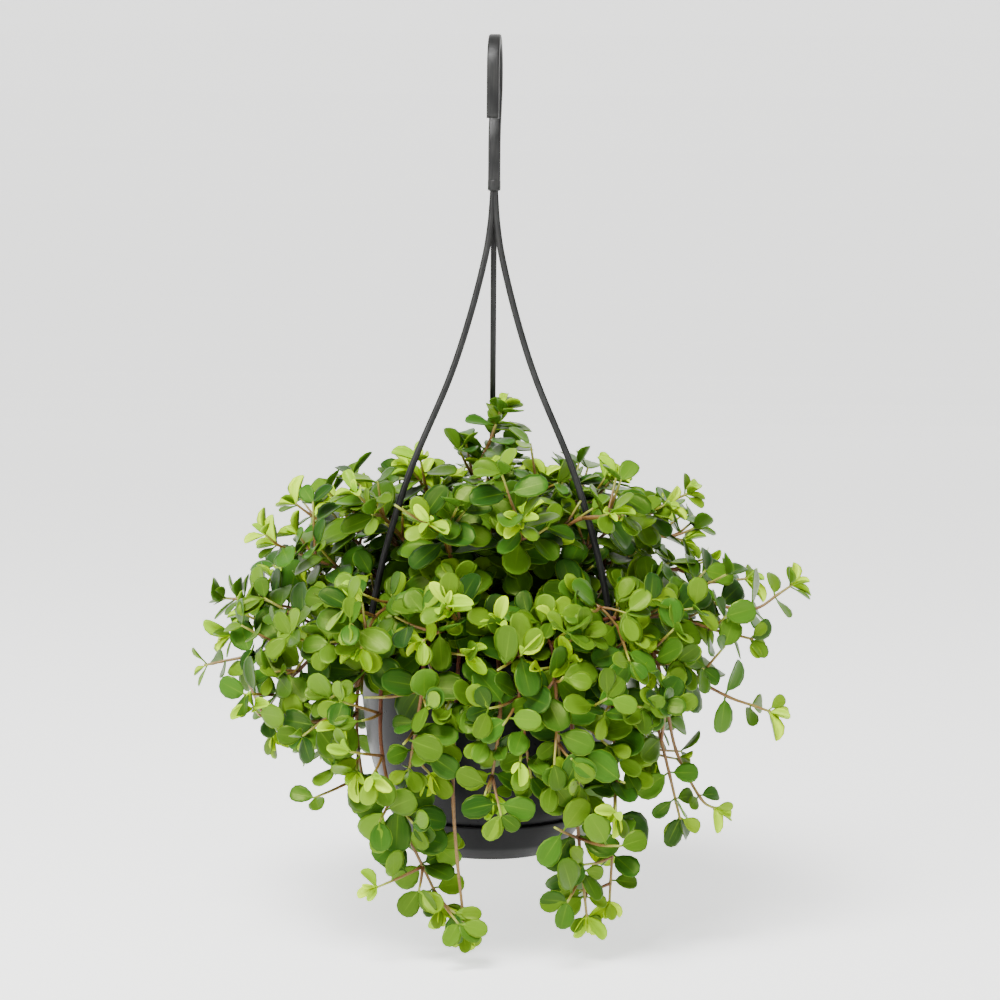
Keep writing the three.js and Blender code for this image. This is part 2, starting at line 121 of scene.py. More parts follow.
def turnedShell(profile, around=160, centre=(0, 0)):
    # each (radius, height) place of the profile goes round the axis: x = r cos a, y = r sin a, z = h
    profile = np.asarray(profile, float)
    angle = np.arange(around) / around * 2 * math.pi
    radius, height = profile[1:-1, :1], profile[1:-1, 1:]
    rings = np.stack([radius * np.cos(angle) + centre[0], radius * np.sin(angle) + centre[1],
                      np.repeat(height, around, 1)], -1)
    return closedRings(rings, (*centre, profile[0, 1]), (*centre, profile[-1, 1]))


def sweptShell(line, section, across, sizes=1.0, slot=0, **attributes):
    # the section's (across, upright) places are carried along the line, square to it, and both ends closed
    line, section = np.asarray(line, float), np.asarray(section, float)
    ahead = np.vstack([line[1:], line[-1:]]) - np.vstack([line[:1], line[:-1]])
    ahead /= np.linalg.norm(ahead, axis=1)[:, None]
    sides = []
    for way in ahead:  # each step keeps the last step's side as nearly as it can
        across = across - way * (way @ across)
        across = across / np.linalg.norm(across)
        sides.append(across)
    sides = np.array(sides)[:, None]
    upright = np.cross(ahead[:, None], sides)
    sizes = np.broadcast_to(sizes, len(line))[:, None, None]
    rings = line[:, None] + (sides * section[:, :1] + upright * section[:, 1:]) * sizes
    return closedRings(rings, line[0], line[-1], slot, **attributes)


def smoothLine(places, steps):
    # Catmull-Rom curve: a cubic between neighbours whose slopes are half the way from one to the next but one
    places = np.asarray(places, float)
    padded = np.vstack([2 * places[0] - places[1], places, 2 * places[-1] - places[-2]])
    spot = np.arange(steps + 1) / steps * (len(places) - 1)
    first = np.minimum(spot.astype(int), len(places) - 2)
    t = (spot - first)[:, None]
    before, start, end, after = (padded[first + k] for k in range(4))
    leaving, arriving = (end - before) / 2, (after - start) / 2
    return (start + leaving * t + (3 * (end - start) - 2 * leaving - arriving) * t ** 2
            + (2 * (start - end) + leaving + arriving) * t ** 3)


# Materials.
def linear(value):
    # a hex colour becomes linear light, and any other value stays as it is
    if not isinstance(value, str):
        return value
    channels = [int(value[i:i + 2], 16) / 255 for i in (1, 3, 5)]
    return (*(c / 12.92 if c <= 0.04045 else ((c + 0.055) / 1.055) ** 2.4 for c in channels), 1)


def newMaterial(name):
    material = bpy.data.materials.new(name)
    material.use_nodes = True
    return material, material.node_tree, material.node_tree.nodes["Principled BSDF"]


def addNode(tree, kind, settings, links, out=0):
    # settings are a node's properties, its ramp's stops or its unlinked inputs, with every colour as a hex
    # value; links are sockets for its other inputs, and the chosen output comes back
    node = tree.nodes.new("ShaderNode" + kind)
    for key, value in settings.items():
        if key == "stops":
            while len(node.color_ramp.elements) < len(value):
                node.color_ramp.elements.new(0.5)
            for element, (place, color) in zip(node.color_ramp.elements, value):
                element.position = place
                element.color = linear(color) if isinstance(color, str) else (color, color, color, 1)
        elif isinstance(key, str) and hasattr(node, key):
            setattr(node, key, value)
        else:
            node.inputs[key].default_value = linear(value)
    for key, socket in links.items():
        tree.links.new(socket, node.inputs[key])
    return node.outputs[out]


def setInputs(shader, values):
    for name, value in values.items():
        shader.inputs[name].default_value = linear(value)


def finishSkin(tree, shader, look, skin, mask, relief):
    # a look's roughness is given at two values of the mask, and its bump as a strength and a height in metres
    (start, low), (end, high) = look["roughness"]
    rough = addNode(tree, "MapRange", {"From Min": start, "From Max": end, "To Min": low, "To Max": high},
                    {0: mask})
    strength, height = look["bump"]
    normal = addNode(tree, "Bump", {"Strength": strength, "Distance": height}, {"Height": relief})
    for name, socket in (("Base Color", skin), ("Roughness", rough), ("Normal", normal)):
        tree.links.new(socket, shader.inputs[name])
    setInputs(shader, look["inputs"])


leafLook = {
    "dark": "#183811", "mature": "#234914", "light": "#366319",
    "young": "#88b804", "tip": "#c2e604",
    "underside": "#446a18", "vein": "#6a8f1e", "margin": "#86a81c",
    "mottleMm": 8, "skinMm": 1.3,
    "roughness": ((0.3, 0.28), (0.7, 0.4)), "bump": (0.5, 0.00012),
    "inputs": {
        "Subsurface Weight": 0.06, "Subsurface Radius": (0.0006, 0.0012, 0.0002), "Subsurface Scale": 1.0,
        "IOR": 1.45, "Specular IOR Level": 0.34, "Specular Tint": "#e8ff80",
    },
}


def leafMaterial():
    # Living peperomia leaf, fleshy with a smooth waxy skin: broad soft highlights over a mottled green,
    # a thin paler margin, a pale midrib and faint arched veins.
    material, tree, shader = newMaterial("fleshy waxy leaf")
    look = leafLook
    place = addNode(tree, "TexCoord", {}, {}, "Object")
    spot = addNode(tree, "Attribute", {"attribute_name": "bladePlace"}, {}, "Vector")
    tone = addNode(tree, "Attribute", {"attribute_name": "leafTone"}, {}, "Vector")
    along = addNode(tree, "SeparateXYZ", {}, {0: spot}, 0)
    across = addNode(tree, "SeparateXYZ", {}, {0: spot}, 1)
    upper = addNode(tree, "SeparateXYZ", {}, {0: spot}, 2)
    age = addNode(tree, "SeparateXYZ", {}, {0: tone}, 0)
    green = addNode(tree, "SeparateXYZ", {}, {0: tone}, 1)
    mottle = addNode(tree, "TexNoise", {"Scale": 1000 / look["mottleMm"], "Detail": 4}, {"Vector": place})
    skinCells = addNode(tree, "TexNoise", {"Scale": 1000 / look["skinMm"], "Detail": 2}, {"Vector": place})
    # the green of a grown leaf: its own shade and a cloudy mottle, one after the other
    shades = addNode(tree, "Math", {"operation": "MULTIPLY_ADD", 1: 0.2}, {0: mottle, 2: green})
    grown = addNode(tree, "ValToRGB", {"stops": [(0.1, look["dark"]), (0.55, look["mature"]),
                                                (1.0, look["light"])]}, {0: shades})
    fresh = addNode(tree, "Mix", {"data_type": "RGBA", 6: look["young"], 7: look["tip"]}, {0: green}, 2)
    skin = addNode(tree, "Mix", {"data_type": "RGBA"}, {0: age, 6: fresh, 7: grown}, 2)
    # midrib at 0 and arched veins at fixed shares of the half width, fading towards the tip
    offMidrib = addNode(tree, "Math", {"operation": "ABSOLUTE"}, {0: across})
    lines = addNode(tree, "ValToRGB", {"stops": [(0, 0.7), (0.07, 0.1), (0.36, 0), (0.41, 0.16), (0.46, 0),
                                                (0.68, 0), (0.73, 0.1), (0.78, 0)]}, {0: offMidrib})
    fading = addNode(tree, "MapRange", {"From Min": 1.0, "From Max": 0.2, "To Max": 0.8}, {0: along})
    veins = addNode(tree, "Math", {"operation": "MULTIPLY"}, {0: lines, 1: fading})
    skin = addNode(tree, "Mix", {"data_type": "RGBA", 7: look["vein"]}, {0: veins, 6: skin}, 2)
    below = addNode(tree, "MapRange", {"From Min": 0.05, "From Max": -0.3, "To Max": 0.75}, {0: upper})
    skin = addNode(tree, "Mix", {"data_type": "RGBA", 7: look["underside"]}, {0: below, 6: skin}, 2)
    edge = addNode(tree, "MapRange", {"From Min": 0.93, "From Max": 1.0, "To Max": 0.55}, {0: offMidrib})
    skin = addNode(tree, "Mix", {"data_type": "RGBA", 7: look["margin"]}, {0: edge, 6: skin}, 2)
    relief = addNode(tree, "Math", {"operation": "MULTIPLY_ADD", 1: -1.5}, {0: veins, 2: skinCells})
    finishSkin(tree, shader, look, skin, skinCells, relief)
    return material


stemLook = {
    "woody": "#3c2013", "ruddy": "#66361d", "olive": "#7d6228", "fresh": "#8f9a2c",
    "grain": "#5a3d2c", "grainMm": 0.9, "patchMm": 50 / 7,
    "roughness": ((0.3, 0.38), (0.7, 0.55)), "bump": (0.5, 0.00015), "inputs": {},
}


def stemMaterial():
    # Soft fleshy stem, red-brown with fine darker grain along it, olive and then green where it is new.
    material, tree, shader = newMaterial("soft red-brown stem")
    look = stemLook
    place = addNode(tree, "TexCoord", {}, {}, "Object")
    tone = addNode(tree, "Attribute", {"attribute_name": "leafTone"}, {}, "Vector")
    newness = addNode(tree, "SeparateXYZ", {}, {0: tone}, 0)
    patches = addNode(tree, "TexNoise", {"Scale": 1000 / look["patchMm"], "Detail": 3}, {"Vector": place})
    grain = addNode(tree, "TexNoise", {"Scale": 1000 / look["grainMm"], "Detail": 2}, {"Vector": place})
    spot = addNode(tree, "Math", {"operation": "MULTIPLY_ADD", 1: 0.3}, {0: patches, 2: newness})
    skin = addNode(tree, "ValToRGB", {"stops": [(0.12, look["woody"]), (0.5, look["ruddy"]),
                                               (0.85, look["olive"]), (1.0, look["fresh"])]}, {0: spot})
    dark = addNode(tree, "MapRange", {"From Min": 0.4, "From Max": 0.8, "To Max": 0.5}, {0: grain})
    skin = addNode(tree, "Mix", {"data_type": "RGBA", "blend_type": "MULTIPLY", 7: look["grain"]},
                   {0: dark, 6: skin}, 2)
    finishSkin(tree, shader, look, skin, grain, grain)
    return material


potLook = {
    "body": "#101012", "worn": "#161618", "dust": "#353230",
    "ringMm": 0.9, "flowMm": 26, "fineMm": 0.7, "markMm": 4,
    "roughness": ((0.3, 0.26), (0.75, 0.36)), "bump": (0.4, 0.00006),
    "inputs": {"IOR": 1.49, "Specular IOR Level": 0.12},
}
saucerLook = {**potLook, "body": "#0d0d0f", "worn": "#131315", "roughness": ((0.3, 0.3), (0.75, 0.42))}


def mouldedMaterial(name, look):
    # Injection-moulded polypropylene: a satin skin with faint flow clouds, fine rings left by the turned
    # mould, drawn 0.9 mm apart so that they show, and a little dried water mark.
    material, tree, shader = newMaterial(name)
    place = addNode(tree, "TexCoord", {}, {}, "Object")
    flow = addNode(tree, "TexNoise", {"Scale": 1000 / look["flowMm"], "Detail": 4}, {"Vector": place})
    fine = addNode(tree, "TexNoise", {"Scale": 1000 / look["fineMm"], "Detail": 2}, {"Vector": place})
    marks = addNode(tree, "TexNoise", {"Scale": 1000 / look["markMm"], "Detail": 6, "Roughness": 0.7},
                    {"Vector": place})
    cloudy = addNode(tree, "MapRange", {"From Min": 0.35, "From Max": 0.7}, {0: flow})
    skin = addNode(tree, "Mix", {"data_type": "RGBA", 6: look["body"], 7: look["worn"]}, {0: cloudy}, 2)
    dusty = addNode(tree, "MapRange", {"From Min": 0.6, "From Max": 0.8, "To Max": 0.12}, {0: marks})
    skin = addNode(tree, "Mix", {"data_type": "RGBA", 7: look["dust"]}, {0: dusty, 6: skin}, 2)
    # rings: a sine of the height and the distance from the axis, measured along the wall
    offAxis = addNode(tree, "Mapping", {"Scale": (1, 1, 0)}, {"Vector": place})
    radius = addNode(tree, "VectorMath", {"operation": "LENGTH"}, {0: offAxis}, "Value")
    height = addNode(tree, "SeparateXYZ", {}, {0: place}, 2)
    slant = addNode(tree, "Math", {"operation": "MULTIPLY_ADD", 1: 0.7}, {0: radius, 2: height})
    turns = addNode(tree, "Math", {"operation": "MULTIPLY", 1: 2000 * math.pi / look["ringMm"]}, {0: slant})
    wave = addNode(tree, "Math", {"operation": "SINE"}, {0: turns})
    patchy = addNode(tree, "MapRange", {"From Min": 0.45, "From Max": 0.75, "To Max": 0.4}, {0: flow})
    relief = addNode(tree, "Math", {"operation": "MULTIPLY_ADD"}, {0: wave, 1: patchy, 2: fine})
    finishSkin(tree, shader, look, skin, marks, relief)
    return material


hangerLook = {
    "body": "#111111", "rubbed": "#252524",
    "streakMm": 0.8, "streakStretch": 0.06, "cloudMm": 12,
    "roughness": ((0.3, 0.4), (0.7, 0.55)), "bump": (0.5, 0.00006),
    "inputs": {"IOR": 1.49, "Specular IOR Level": 0.3},
}


def hangerMaterial():
    # The same plastic in a long thin moulding, rubbed a little greyer in fine streaks along each bar.
    material, tree, shader = newMaterial("rubbed grey polypropylene")
    look = hangerLook
    place = addNode(tree, "TexCoord", {}, {}, "Object")
    drawnOut = addNode(tree, "Mapping", {"Scale": (1, 1, look["streakStretch"])}, {"Vector": place})
    streaks = addNode(tree, "TexNoise", {"Scale": 1000 / look["streakMm"], "Detail": 4}, {"Vector": drawnOut})
    clouds = addNode(tree, "TexNoise", {"Scale": 1000 / look["cloudMm"], "Detail": 3}, {"Vector": place})
    both = addNode(tree, "Math", {"operation": "ADD"}, {0: streaks, 1: clouds})
    rubbed = addNode(tree, "MapRange", {"From Min": 0.75, "From Max": 1.25}, {0: both})
    skin = addNode(tree, "Mix", {"data_type": "RGBA", 6: look["body"], 7: look["rubbed"]}, {0: rubbed}, 2)
    finishSkin(tree, shader, look, skin, streaks, streaks)
    return material


soilLook = {
    "dark": "#120b07", "peat": "#2c1d12", "fibre": "#5c4229",
    "crumbMm": 2.2, "gritMm": 1.4,
    "roughness": ((0, 0.85), (1, 1.0)), "bump": (0.8, 0.0009), "inputs": {},
}


def soilMaterial():
    # Moist peat potting mix: dark crumbs of a millimetre or two and a few paler fibres, quite matt.
    material, tree, shader = newMaterial("moist peat potting mix")
    place = addNode(tree, "TexCoord", {}, {}, "Object")
    crumbs = addNode(tree, "TexVoronoi", {"Scale": 1000 / soilLook["crumbMm"]}, {"Vector": place}, "Distance")
    grit = addNode(tree, "TexNoise", {"Scale": 1000 / soilLook["gritMm"], "Detail": 5}, {"Vector": place})
    skin = addNode(tree, "ValToRGB", {"stops": [(0.3, soilLook["dark"]), (0.6, soilLook["peat"]),
                                               (0.8, soilLook["fibre"])]}, {0: grit})
    relief = addNode(tree, "Math", {"operation": "ADD"}, {0: crumbs, 1: grit})
    finishSkin(tree, shader, soilLook, skin, grit, relief)
    return material


leafSkin = leafMaterial()
stemSkin = stemMaterial()
print("materials made")

# Pot and saucer, turned from their profiles.
pot = {
    "outerWall": [(33, -102.4), (40, -99), (46.5, -89.5), (54, -77), (61, -55), (64.6, -28), (67, -2.2)],
    "rim": [(74.3, -2.2), (74.3, -6), (76.5, -6), (76.5, -1), (75.5, 0), (65.6, 0)],
    "innerWall": [(64.8, -7), (58.9, -55), (51.9, -77), (38.4, -97.9), (32.5, -100.2)],
    "floor": -100.2,
    "underside": -102.4,
}
saucer = {
    "outside": [(35, -105.4), (42.5, -98.6), (50.8, -86.2)],
    "inside": [(49.4, -85.4), (40.3, -99.5), (33.2, -102.8)],
    "floor": -102.8,
    "underside": -105.4,
}


def potProfile():
    # the walls are smooth curves through their given places, and the rim keeps its corners, rounded
    outer = smoothLine([(*place, 0) for place in pot["outerWall"]], 36)[:, :2]
    inner = smoothLine([(*place, 0) for place in pot["innerWall"]], 24)[:, :2]
    rim = roundedProfile([outer[-1], *pot["rim"], inner[0]], 0.6)
    return np.vstack([[(0, pot["underside"]), (30, pot["underside"])], outer, rim[1:-1], inner,
                      [(28, pot["floor"]), (0, pot["floor"])]])


makePiece("moulded_pot", "pot", [turnedShell(potProfile(), 180)],
          [mouldedMaterial("moulded anthracite polypropylene", potLook)])
saucerProfile = roundedProfile([(0, saucer["underside"]), *saucer["outside"], *saucer["inside"],
                                (0, saucer["floor"])], 1.4, 5)
makePiece("drip_saucer", "saucer", [turnedShell(saucerProfile)],
          [mouldedMaterial("moulded black polypropylene", saucerLook)])

# Hanger: a flat hook, its collar and three grooved strands that end in barbed pegs.
hook = {
    "turn": -3,
    "width": 6,
    "thickness": 5,
    "edgeRadius": 0.9,
    "insideRadius": 14,
    "noseLength": 22.5,
    "shaftTop": -50,
    "bend": 14,
    "collarTop": -66,
    "collarBottom": -71.6,
    "collarRadius": 3.2,
    "collarRounding": 0.9,
}
strand = {
    "azimuths": (-150, -30, 90),
    "width": 3,
    "thickness": 2.4,
    "grooveWidth": 1.3,
    "grooveDepth": 0.4,
    "route": [(0.3, -70), (1.9, -88), (5.2, -105.6), (13.8, -135), (25.4, -165.5), (46, -208), (60, -248),
              (68, -281), (70.8, -294.2)],
    "steps": 12,
    "reach": 2,
    "pegRadius": 1.5,
    "stopRadius": 2.6,
    "stopTop": -2.5,
    "stopThickness": 1.5,
}


def atAzimuth(degrees, distance, z):
    angle = math.radians(degrees)
    return np.array([distance * math.cos(angle), distance * math.sin(angle), z])


def roundedSection(width, thickness, radius, steps=3):
    # a rectangle whose four corners are quarter circles, taken anticlockwise
    angle = np.linspace(0, math.pi / 2, steps + 1)
    corners = [np.stack([sx * (width / 2 - radius) + radius * np.cos(angle + k * math.pi / 2),
                         sy * (thickness / 2 - radius) + radius * np.sin(angle + k * math.pi / 2)], -1)
               for k, (sx, sy) in enumerate(((1, 1), (-1, 1), (-1, -1), (1, -1)))]
    return np.vstack(corners)


def groovedSection():
    # the strand's rectangle with bevelled edges and a shallow groove down its outer and its inner face
    w, t = strand["width"] / 2, strand["thickness"] / 2
    g, d = strand["grooveWidth"] / 2, strand["grooveDepth"]
    half = [(w, t - 0.3), (w - 0.3, t), (g + 0.15, t), (g - 0.1, t - d), (-g + 0.1, t - d), (-g - 0.15, t),
            (-w + 0.3, t), (-w, t - 0.3)]
    return np.array(half + [(-x, -y) for x, y in half])


def hookLine():
    # up the nose, round the bow as a half circle, back under it in one bend and down the shaft
    radius = hook["insideRadius"] + hook["thickness"] / 2
    nose = [(0, -radius, -hook["insideRadius"] - s) for s in np.linspace(hook["noseLength"], 1, 8)]
    angle = np.linspace(0, math.pi, 41)
    bow = np.stack([angle * 0, -radius * np.cos(angle), radius * np.sin(angle) - hook["insideRadius"]], -1)
    t = np.linspace(0, 1, 20)[1:, None]
    leaving, low = np.array([0, radius, -hook["insideRadius"]]), np.array([0, 0, hook["shaftTop"]])
    bend = np.array([0, 0, hook["bend"]])
    back = ((1 - t) ** 3 * leaving + 3 * (1 - t) ** 2 * t * (leaving - bend)
            + 3 * (1 - t) * t ** 2 * (low + bend) + t ** 3 * low)
    shaft = [(0, 0, z) for z in np.linspace(hook["shaftTop"] - 3, hook["collarBottom"] + 1, 6)]
    return np.vstack([nose, bow, back, shaft]) + (0, 0, rimBelowHook)


def strandLine(azimuth, steps):
    return smoothLine([atAzimuth(azimuth, r, z + rimBelowHook) for r, z in strand["route"]], steps)


def hookShell():
    section = roundedSection(hook["width"], hook["thickness"], hook["edgeRadius"])
    shell = sweptShell(hookLine(), section, np.array([1.0, 0, 0]))
    turn = Matrix.Rotation(math.radians(hook["turn"]), 3, "Z")
    shell["points"] = shell["points"] @ np.array(turn).T
    return shell


def pegShell(foot):
    # the strand's round end goes down through the rim's hole and is held by a barb under the flange
    low, top = strand["stopTop"] - strand["stopThickness"], foot[2] + 1
    barb = [(0, low), (strand["pegRadius"], low), (strand["stopRadius"], strand["stopTop"] - 0.5),
            (strand["stopRadius"], strand["stopTop"]), (strand["pegRadius"], strand["stopTop"]),
            (strand["pegRadius"], top), (0, top)]
    return turnedShell(roundedProfile(barb, 0.2, 2), 20, foot[:2])


def hangerShells():
    top, bottom = hook["collarTop"] + rimBelowHook, hook["collarBottom"] + rimBelowHook
    radius = hook["collarRadius"]
    collar = roundedProfile([(0, bottom), (radius, bottom), (radius, top), (0, top)], hook["collarRounding"])
    shells = [hookShell(), turnedShell(collar, 40)]
    for azimuth in strand["azimuths"]:
        line = strandLine(azimuth, 60)
        shells += [sweptShell(line, groovedSection(), atAzimuth(azimuth + 90, 1, 0)), pegShell(line[-1])]
    return shells


makePiece("three_strand_hanger", "hanger", hangerShells(), [hangerMaterial()])
print("pot, saucer and hanger made")

# Growth of the plant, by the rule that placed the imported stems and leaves.
soil = {"edge": 64, "edgeHeight": -11, "crownHeight": -3, "wallGap": 0.8}
stem = {
    "rootRadius": 1.35, "roots": 54, "rootSpread": 56, "rootTurn": 137.508,
    "sunkDepth": 8, "uprightLength": 3, "spacing": 3.5, "bareStep": 28,
    "nudges": 60, "nudge": 0.4,
}
whorl = {
    "firstGap": 9, "gapGrowth": 4, "widestGap": 20, "bareShare": 0.4,
    "most": {"mound": 8, "shown": 8, "thread": 2},
    "threes": 0.36, "turn": 1.5, "turnSpread": 0.35, "tries": 9, "freeTries": 3, "shrink": 0.07,
    "sizes": (0.86, 1.06), "leans": (0.1, 0.5), "tipLean": 0.9,
}
leaf = {
    "length": 20, "width": 17.6, "petiole": 3, "belowJoint": 1.5, "keelPlace": 6, "keelDepth": 1,
    "edge": [(0.2, 0.66, 0.4), (0.6, 1, 0.7), (0.89, 0.7, 0)], "tipDroop": 0.8, "reach": 2.1,
    "youngSizes": {"mound": (0.58, 0.88, 1), "shown": (0.44, 0.62, 0.8, 0.95), "thread": (0.4, 0.55)},
}
shade = {"radius": 78, "height": 58}
light = {
    "spread": 0.8, "front": -45, "up": 42, "rise": 0.8, "lowest": -40, "turned": 0.5,
    "scatter": ((-0.5, 0.5), (-0.5, 0.5), (-0.2, 0.6)),
}
opening = {
    "azimuths": (-150, -30), "low": 18, "high": 150, "steps": 60,
    "wall": {"azimuths": (-162, -154, -146), "distance": 64, "heights": (-28, -38, -48, -58)},
    "viewer": (0, -1380, 215), "length": 130, "halfWidth": 2,
}
gap = 0.3

# stems that show in front, by three places each: where it leaves the mound, its middle, its tip
shownStems = [
    [(-76, -20, 12), (-108, -22, -3), (-142, -25, -11)],
    [(-83, 5, 14), (-113, 5, 6), (-132, 5, -1)],
    [(-77, 30, 20), (-110, 30, 14), (-138, 30, 15)],
    [(-80, -38, 2), (-100, -45, -20), (-109, -50, -44)],
    [(-55, -60, 6), (-66, -66, -18), (-87, -62, -36)],
    [(-44, 22, 44), (-60, 22, 60), (-70, 22, 68)],
    [(-62, 12, 40), (-86, 14, 56), (-100, 15, 66)],
    [(-66, -14, 30), (-90, -16, 42), (-108, -16, 49)],
    [(89, -20, 27), (124, -25, 18), (149, -25, 32)],
    [(80, 10, 34), (108, 10, 28), (130, 10, 30)],
    [(82, -45, 20), (100, -45, 15), (131, -45, 8)],
    [(80, -40, 6), (106, -45, -16), (138, -50, -28)],
    [(62, 12, 50), (82, 12, 64), (99, 10, 73)],
    [(40, 20, 50), (52, 20, 68), (61, 20, 79)],
    [(-13, 20, 66), (-2, 20, 96), (5, 20, 116)],
    [(36, -70, 12), (40, -88, -54), (47, -86, -121)],
    [(54, -58, 10), (60, -78, -50), (58, -80, -115)],
    [(66, -50, 12), (80, -66, -30), (92, -70, -77)],
    [(-46, -62, 10), (-50, -82, -50), (-22, -82, -118)],
    [(-56, -48, 12), (-64, -64, -26), (-60, -68, -66)],
    [(12, -70, 14), (14, -92, -16), (20, -96, -52)],
    [(-28, -66, 16), (-32, -88, -12), (-38, -92, -50)],
    [(26, -68, 14), (31, -93, -10), (33, -97, -44)],
    [(2, -70, 12), (5, -93, -22), (0, -94, -60)],
]
# thin stems that hang bare, with leaves at their tips only
threadStems = [
    [(-14, -74, 12), (-17, -92, -60), (-11, -88, -129)],
    [(66, -54, 10), (94, -62, -46), (113, -62, -71)],
]
# rings of other stems: how many, from and to which azimuth, how far some are drawn in, and the
# (distance, height) of their shoulder, middle and tip
moundRings = [
    (5, 20, 335, 0.9, [(22, 28), (34, 56), (46, 78)]),
    (10, 0, 324, 0.12, [(34, 28), (60, 56), (80, 66)]),
    (4, -128, -52, 0.1, [(58, 22), (86, 26), (104, 8)]),
    (3, -118, -64, 0.1, [(64, 14), (84, 8), (96, -18)]),
    (4, 35, 145, 0.15, [(60, 24), (90, 46), (112, 44)]),
    (4, 45, 140, 0.1, [(70, 12), (92, -16), (98, -74)]),
]
potOutside = [(35, -105.4), (42.5, -98.6), (50.8, -86.2), (52.5, -84), (61, -55), (64.6, -28),
              (67, -6.5), (76.5, -6.4), (76.5, 0)]


def seededDraws(state):
    while True:
        state = (state * 1664525 + 1013904223) % 4294967296
        yield state / 4294967296


draws = seededDraws(33)


def between(low, high):
    return low + (high - low) * next(draws)


def lengthOf(v):
    return math.sqrt(v[0] * v[0] + v[1] * v[1] + v[2] * v[2])


def unit(v):
    return v / lengthOf(v)


def cross(a, b):
    return np.array([a[1] * b[2] - a[2] * b[1], a[2] * b[0] - a[0] * b[2], a[0] * b[1] - a[1] * b[0]])


def everyStep(line, step):
    places = []
    for a, b in zip(line[:-1], line[1:]):
        n = math.ceil(lengthOf(b - a) / step)
        places.append(a + (b - a) * (np.arange(n) / n)[:, None])
    return np.vstack([*places, line[-1:]])


def soilHeight(distance):
    rise = soil["crownHeight"] - soil["edgeHeight"]
    return soil["edgeHeight"] + rise * (1 - (distance / soil["edge"]) ** 2)


def clearOfPot(places, radius):
    room = radius + gap
    distance = np.hypot(places[:, 0], places[:, 1])
    z = places[:, 2]
    radii, heights = np.array(potOutside).T
    wall = np.maximum(np.interp(z, heights, radii), np.interp(np.minimum(z + room, 0), heights, radii))
    inside = distance < pot["innerWall"][0][0] - room
    return np.where(inside, z > soilHeight(distance) + room, (z > room) | (distance > wall + room)).all()


def nearestGap(a, b):
    return np.sqrt(((a[:, None] - b[None]) ** 2).sum(2).min())


strandLines = [strandLine(azimuth, strand["steps"]) for azimuth in strand["azimuths"]]


def stemLine(root, places, nudge):
    surface = soilHeight(math.hypot(root[0], root[1]))
    foot = np.array([root[0], root[1], surface - stem["sunkDepth"]])
    collar = np.array([root[0], root[1], surface + stem["uprightLength"]])
    nudged = []
    for i, place in enumerate(places):
        size = nudge / 2 if i == 2 else nudge
        nudged.append(np.asarray(place) + np.array([between(-size, size) for _ in range(3)]))
    return np.vstack([foot, smoothLine([collar, *nudged], 24)])


def jointsOf(line, kind):
    # whorls stand closer together towards the tip, and the lowest part of the stem is bare
    lengths = np.concatenate([[0], np.cumsum([lengthOf(b - a) for a, b in zip(line[:-1], line[1:])])])
    total = lengths[-1]
    whorls = [total - 0.5]
    step = whorl["firstGap"]
    while whorls[0] - step > total * whorl["bareShare"] and len(whorls) < whorl["most"][kind]:
        whorls.insert(0, whorls[0] - step)
        step = min(step + whorl["gapGrowth"], whorl["widestGap"])
    bareLength = whorls[0] - lengths[1]
    parts = math.ceil(bareLength / stem["bareStep"])
    at = [lengths[1] + bareLength * (k + 1) / parts for k in range(parts - 1)] + whorls
    spots = np.column_stack([np.interp(at, lengths, line[:, k]) for k in range(3)])
    return np.vstack([line[:2], spots]), 1 + parts


def wantedStems():
    wanted = [(kind, [np.array(place, float) for place in places])
              for kind, routes in (("shown", shownStems), ("thread", threadStems)) for places in routes]
    for count, start, end, drawnIn, route in moundRings:
        for i in range(count):
            azimuth = start + (end - start) * (i + between(-0.2, 0.2)) / (count - 1)
            size = 1 - drawnIn * ((i * 0.618) % 1)
            places = [atAzimuth(azimuth + 6 * k * between(-1, 1), r * size, z + (1 - size) * 10)
                      for k, (r, z) in enumerate(route)]
            wanted.append(("mound", places))
    return wanted


def growStems():
    # each stem takes the nearest free root place, and is nudged until it is clear of all the others
    free = [atAzimuth(stem["rootTurn"] * i, stem["rootSpread"] * math.sqrt((i + 0.5) / stem["roots"]), 0)
            for i in range(stem["roots"])]
    strandSteps = np.vstack([everyStep(line, 2) for line in strandLines])
    bodies = np.full((1, 3), 1e6)
    grown = []
    for kind, places in wantedStems():
        start = places[0] * (1, 1, 0)
        start = start / (lengthOf(start) or 1) * min(lengthOf(start), stem["rootSpread"])
        free.sort(key=lambda p: lengthOf(p - start))
        for attempt in range(stem["nudges"]):
            joints, firstWhorl = jointsOf(stemLine(free[0], places, attempt * stem["nudge"]), kind)
            body = everyStep(joints[1:], 2)
            if (clearOfPot(body, stem["rootRadius"]) and nearestGap(body, strandSteps) > stem["spacing"] + 1
                    and nearestGap(body, bodies) > stem["spacing"]):
                grown.append({"kind": kind, "joints": joints, "firstWhorl": firstWhorl,
                              "leaves": [], "shoots": []})
                free.pop(0)
                bodies = np.vstack([bodies, body])
                break
    return grown


def leafAt(base, direction, face, size, petiole):
    along = unit(direction)
    normal = unit(face - along * (face @ along))
    side = cross(normal, along)
    length = leaf["length"] * size
    halfWidth = leaf["width"] / 2 * size
    total = petiole + length
    axes = np.array([along, side, normal])
    right = [(petiole + a * length, s * halfWidth, n * size) for a, s, n in leaf["edge"]]
    left = [(a, -s, n) for a, s, n in right]
    outline = np.array([(0, 0, 0), *left, (total, 0, -leaf["tipDroop"] * size), *right[::-1]]) @ axes + base
    return {"base": base, "axes": axes, "size": size, "petiole": petiole, "outline": outline,
            "reach": np.array([total / 2, halfWidth, leaf["reach"]]),
            "centre": base + along * (total / 2 + 0.5),
            "keel": base + along * leaf["keelPlace"] - normal * leaf["keelDepth"]}


